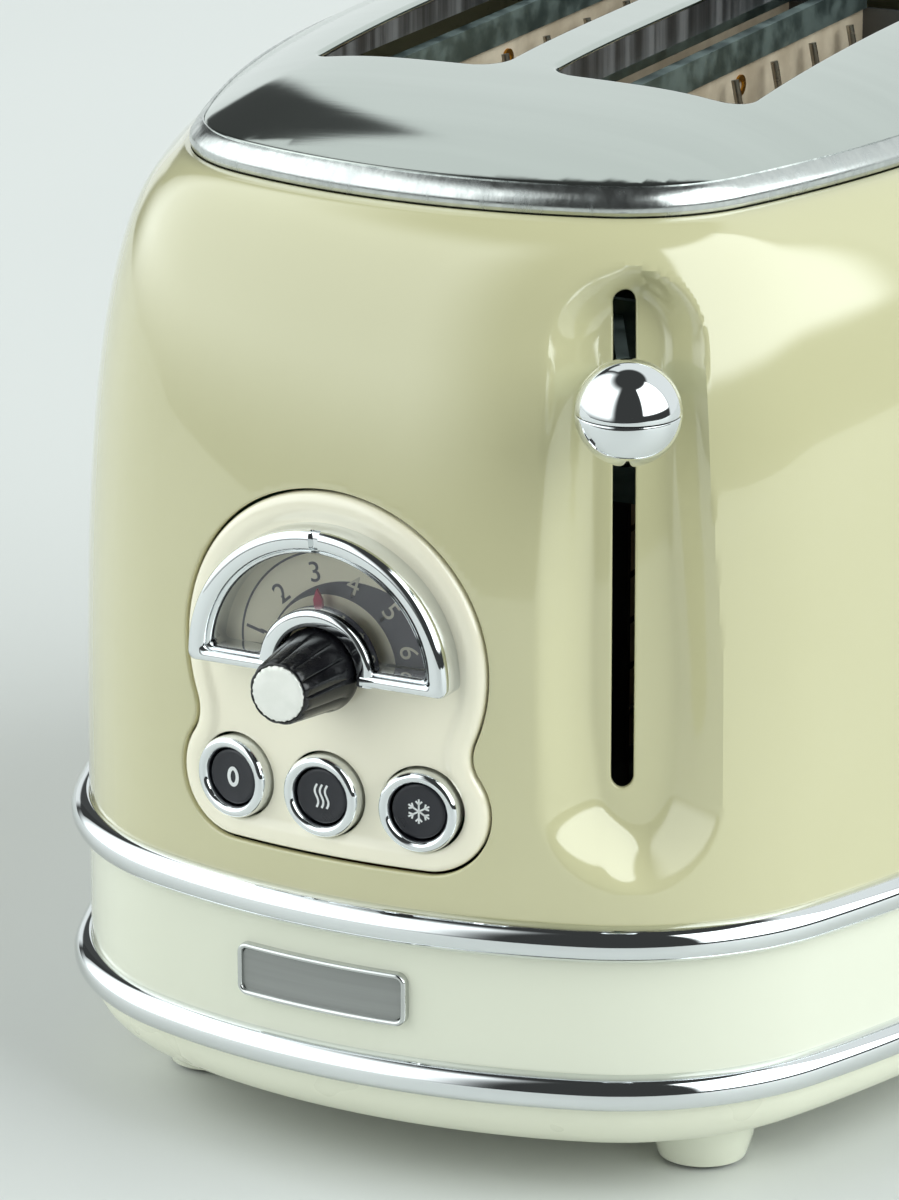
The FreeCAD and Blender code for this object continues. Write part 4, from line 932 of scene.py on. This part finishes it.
knob_profile = [(3.1, 145.0), (7.6, 145.0), (8.1, 145.4), (8.25, 146.2), (8.15, 147.0)]
knob_profile += [(8.0 - 1.75 * (h - 147.2) / 13.8, h) for h in np.linspace(147.6, 160.9, 12)]
knob_profile += [(6.1, 161.4), (5.9, 161.8), (5.65, 161.95), (5.4, 161.7), (5.35, 161.2), (3.1, 161.2)]
settle(lathe("browning_knob_fluted", knob_profile, BLACK, steps=192, radius_at=flutes, **ON_DIAL),
       "black_plastic", "browning_knob", body="knob")


def ragged(angle, height, radius):
    """The disc's slightly uneven cut edge."""
    return radius + (0.07 * math.sin(23 * angle + 1) + 0.06 * math.sin(37 * angle) if radius > 5.2 else 0)


disc_profile = [(0, 161.3), (5.3, 161.3), (5.3, 161.95), (5.1, 162.15), (4.4, 162.25), (2, 162.32),
                (0, 162.34)]
settle(lathe("knob_silver_disc", disc_profile, DISC, steps=128, radius_at=ragged, **ON_DIAL),
       "silver_disc", "knob_end_disc", body="knob")

# ---- push keys

KEY_NAMES = ("cancel", "reheat", "defrost")
MARK_PROUD = 1.05


def key_place(x):
    """Centre of a key on the skin and its outward direction."""
    turn = math.asin(x / END_R)
    out = np.array([math.sin(turn), -math.cos(turn), 0.0])
    return np.array([END_CENTRE[0], END_CENTRE[1], KEY_Z]) + out * END_R, out


RING_PROFILE = [(5.7, -5), (8.0, -5), (8.0, 0.9), (7.96, 1.4), (7.8, 1.85), (7.5, 2.2), (7.1, 2.38),
                (6.7, 2.4), (6.3, 2.28), (6.0, 2.0), (5.8, 1.6), (5.7, 1.1)]
KEY_PROFILE = [(0, -5.8), (5.4, -5.8), (5.4, 0.7), (5.3, 1.0), (5.05, 1.17), (4.75, 1.2), (4.3, 1.1),
               (3.0, 1.0), (0, 0.95)]
STEM_PROFILE = [(0, -11), (2, -11), (2, -5.8), (0, -5.8)]
rings = []
for x, word in zip(RING_XS, KEY_NAMES):
    centre, out = key_place(x)
    rings.append(lathe("ring", RING_PROFILE, CHROME, centre=centre, axis=out, steps=96, sharp=60))
    stem = lathe("stem", STEM_PROFILE, BLACK, centre=centre, axis=out)
    head = lathe("head", KEY_PROFILE, KEY_BLACK, centre=centre, axis=out, steps=96)
    settle(fused("key_" + word, [head, stem]), "black_plastic", "button_" + word, body=word + "_key")
settle(fused("key_rings", rings), "chrome_trim", "button_rings")


def key_matrix(x):
    """Frame matrix for marks drawn flat on a key's face."""
    centre, out = key_place(x)
    turn = math.atan2(out[0], -out[1])
    spot = Vector(centre + out * MARK_PROUD) * MM
    return Matrix.Translation(spot) @ Matrix.Rotation(turn, 4, "Z") @ Matrix.Rotation(math.pi / 2, 4, "X")


def strokes(name, lines, width, x, body):
    """Printed strokes with flat ends on a key's face, from polylines in its plane."""
    points, faces = [], []
    for line in lines:
        line = np.array(line, float)
        ahead = np.gradient(line, axis=0)
        ahead /= np.linalg.norm(ahead, axis=1)[:, None]
        side = np.column_stack([-ahead[:, 1], ahead[:, 0]]) * width / 2
        start, n = len(points), len(line)
        for low in (-PRINT_THICK / 2, PRINT_THICK / 2):
            for edge in (line - side, line + side):
                points += [(px, py, low) for px, py in edge]
        for k in range(n - 1):
            a, b, c, d = (start + k + m * n for m in range(4))
            faces += [[a, a + 1, b + 1, b], [c, d, d + 1, c + 1], [a, c, c + 1, a + 1], [b, b + 1, d + 1, d]]
        for k in (0, n - 1):
            a, b, c, d = (start + k + m * n for m in range(4))
            faces.append([a, b, d, c])
    made = mesh_object(name, points, faces, KEY_WHITE)
    made.data.transform(key_matrix(x))
    settle(made, "dial_print", body=body)


ring_line = [(1.0 * math.cos(a), 1.62 * math.sin(a)) for a in np.linspace(0, 2 * math.pi, 41)]
strokes("key_mark_zero", [ring_line], 0.75, RING_XS[0], "cancel_key")
waves = [[(c + 0.38 * math.sin(t * 2.1 * math.pi), 4.6 * t - 2.3) for t in np.linspace(0, 1, 22)]
         for c in (-1.1, 0.0, 1.1)]
strokes("key_mark_waves", waves, 0.42, RING_XS[1], "reheat_key")
arms = [k * 60 + 30 for k in range(6)]
flake = [arc_points(0, 0, 2.4, angle + 180, angle, 2) for angle in arms[:3]]
flake = [[far, (0, 0), near] for far, near in flake]
for angle in arms:
    root = np.array(arc_points(0, 0, 1.35, angle, angle, 1)[0])
    for swing in (-45, 45):
        twig = np.array(arc_points(0, 0, 1, angle + swing, angle, 1)[0])
        flake.append([tuple(root + twig * t) for t in (0, 0.45, 0.9)])
strokes("key_mark_flake", flake, 0.34, RING_XS[2], "defrost_key")

# ---- badge

BADGE_X, BADGE_Z, BADGE_W, BADGE_H, BADGE_CORNER = -6.0, 39.6, 18.5, 5.3, 2.2
FIELD_IN, FIELD_CORNER, FIELD_PROUD = 1.0, 1.7, 0.95


def badge_inside(x, z):
    return rounded_box(x - BADGE_X, z - BADGE_Z, BADGE_W - FIELD_IN, BADGE_H - FIELD_IN, FIELD_CORNER)


def badge_place(x, z, drop):
    return x, end_skin(x, z, drop - FIELD_PROUD), z


badge_xs = np.arange(BADGE_X - BADGE_W - 0.5, BADGE_X + BADGE_W + 0.6, 0.6)
badge_zs = np.arange(BADGE_Z - BADGE_H - 0.5, BADGE_Z + BADGE_H + 0.6, 0.6)
settle(relief("badge_plate", badge_xs, badge_zs, badge_inside, badge_place, FIELD_PROUD, BADGE_GREY,
              reach=0.1), "badge_grey", "badge_field")


def badge_frame():
    """The rim: a rounded section carried round the plate's outline."""
    corners = ((1, -1, -90), (1, 1, 0), (-1, 1, 90), (-1, -1, 180))
    stations = []
    for sx, sz, start in corners:
        cx, cz = BADGE_X + sx * (BADGE_W - BADGE_CORNER), BADGE_Z + sz * (BADGE_H - BADGE_CORNER)
        stations += [(cx, cz, (start + 9 * k) * DEG) for k in range(11)]
    longer = []
    for a, b in zip(stations, stations[1:] + stations[:1]):
        longer.append(a)
        if math.hypot(a[0] - b[0], a[1] - b[1]) > 1:
            longer += [(a[0] + (b[0] - a[0]) * t, a[1] + (b[1] - a[1]) * t, a[2])
                       for t in np.linspace(0, 1, 16)[1:-1]]
    section = [(0, 0), (0, 1.1), (0.1, 1.45), (0.3, 1.65), (0.55, 1.7), (0.85, 1.6), (1.05, 1.3), (1.15, 0.9),
               (1.15, 0)]
    points, faces = [], []
    for cx, cz, angle in longer:
        for inward, proud in section:
            x = cx + (BADGE_CORNER - inward) * math.cos(angle)
            z = cz + (BADGE_CORNER - inward) * math.sin(angle)
            points.append((x, float(end_skin(x, z, -proud)), z))
    width, count = len(section), len(longer)
    for n in range(count):
        for k in range(width):
            j, m = (n + 1) % count, (k + 1) % width
            faces.append([n * width + k, n * width + m, j * width + m, j * width + k])
    return mesh_object("badge_frame", points, faces, BADGE_SILVER, 50)


settle(badge_frame(), "badge_silver", "badge_rim")

# ---- lever ball

BALL_R, BALL_OUT, BALL_Z = 9.8, 9, 159.7
ball_centre = np.append(LEVER_ROOT + LEVER_OUT * (CORNER_R + BALL_OUT), BALL_Z)
profile = [(0, 0.03), (9.3, 0.03), (9.62, 0.07), (9.74, 0.17)]
profile += [(BALL_R * math.cos(a * DEG), BALL_R * math.sin(a * DEG)) for a in range(2, 88, 4)]
profile += [(0, BALL_R)]
for word, way in (("upper", 1), ("lower", -1)):
    settle(lathe("ball_" + word, profile, CHROME, steps=128, centre=ball_centre, axis=(0, 0, way), sharp=30),
           "chrome_trim", "lever_ball_" + word, body="carriage")

# ---- heater ribbons

ROWS, ROW_LOW, ROW_STEP, RIBBON_Y = 11, 64, 9.6, 58
points, faces = [], []
for sign in (-1, 1):
    for base, face in ((44.0, -1), (8.5, 1)):
        x = sign * (base + face * 0.42)
        far = x + sign * face * 0.12
        for row in range(ROWS):
            z = ROW_LOW + row * ROW_STEP
            start = len(points)
            for px in (x, far):
                points += [(px, -RIBBON_Y, z), (px, RIBBON_Y, z + 4.8), (px, RIBBON_Y, z + 6.0),
                           (px, -RIBBON_Y, z + 1.2)]
            faces += [[start + a for a in f] for f in ((0, 1, 2, 3), (7, 6, 5, 4), (0, 4, 5, 1), (1, 5, 6, 2),
                                                      (2, 6, 7, 3), (3, 7, 4, 0))]
settle(mesh_object("heater_ribbons", points, faces, RIBBON), "wire_chrome")

# ---- floor, light, camera

# the floor's edges, in metres
left, right, near, far = -2.5, 1.6, -0.75, 4.0
FLOOR = finish_of("studio_floor", (213, 215, 213), 0.5, other=(217, 219, 217), scale=1.5,
                  rough_to=0.6)
floor = bpy.data.meshes.new("floor")
floor.from_pydata([(left, near, 0), (right, near, 0), (right, far, 0), (left, far, 0)], [], [(0, 1, 2, 3)])
floor.materials.append(FLOOR)
floor_object = bpy.data.objects.new("floor", floor)
scene.collection.objects.link(floor_object)


def studio():
    """A pale room: a wide and a bright soft box, a dim rear with a gap in it, and a dark top."""
    world = bpy.data.worlds.new("studio")
    scene.world = world
    world.use_nodes = True
    graph = Graph(world.node_tree)
    coords = graph.node("ShaderNodeTexCoord")
    split = graph.node("ShaderNodeSeparateXYZ", Vector=coords.outputs["Generated"])
    x, y, z = split.outputs
    azimuth = graph.math("ARCTAN2", x, graph.math("MULTIPLY", y, -1.0))
    height = graph.math("ARCSINE", z)

    def box(level, az, el, soft, low_soft=2, source=azimuth):
        """A soft edged patch of light between two azimuths and two elevations, in degrees."""
        up = graph.ramp(source, (az[0] - soft) * DEG, (az[0] + soft) * DEG)
        down = graph.ramp(source, (az[1] - soft) * DEG, (az[1] + soft) * DEG, 1.0, 0.0)
        low = graph.ramp(height, (el[0] - low_soft) * DEG, (el[0] + low_soft) * DEG)
        high = graph.ramp(height, (el[1] - soft) * DEG, (el[1] + soft) * DEG, 1.0, 0.0)
        both = graph.math("MULTIPLY", graph.math("MULTIPLY", up, down), graph.math("MULTIPLY", low, high))
        return graph.math("MULTIPLY", both, level)

    apart = graph.math("ABSOLUTE", azimuth)
    wide = box(2.0, (-112, -10), (-2, 60), 10, 9)
    bright = box(3.8, (58, 122), (7, 62), 3)
    rear = box(0.88, (124, 400), (-6, 60), 3, source=apart)
    gap = box(0.86, (-143.8, -116), (11, 40), 1)
    total = graph.math("ADD", graph.math("ADD", wide, bright), rear)
    total = graph.math("MAXIMUM", graph.math("SUBTRACT", total, gap), 0.0)
    total = graph.math("ADD", total, 0.05)
    ray = graph.node("ShaderNodeLightPath").outputs["Is Camera Ray"]
    tree = world.node_tree
    shade = graph.node("ShaderNodeBackground", Strength=total, Color=(0.94, 1.0, 0.995, 1))
    plain = graph.node("ShaderNodeBackground", Strength=0.9, Color=(0.93, 0.95, 0.95, 1))
    mix = tree.nodes.new("ShaderNodeMixShader")
    graph.link(ray, mix.inputs["Fac"])
    graph.link(shade.outputs[0], mix.inputs[1])
    graph.link(plain.outputs[0], mix.inputs[2])
    graph.link(mix.outputs[0], tree.nodes["World Output"].inputs["Surface"])


studio()
scene.view_settings.view_transform = "Standard"
scene.view_settings.look = "None"

camera = bpy.data.objects.new("camera", bpy.data.cameras.new("camera"))
scene.collection.objects.link(camera)
camera.data.lens = 189.15
camera.data.sensor_width = 36
camera.location = (0.52559, -1.12534, 0.47187)
camera.rotation_mode = "QUATERNION"
camera.rotation_quaternion = Vector((-0.43547, 0.84734, -0.30394)).to_track_quat("-Z", "Y")
camera.data.clip_start, camera.data.clip_end = 0.05, 60
scene.camera = camera

bpy.context.view_layer.update()
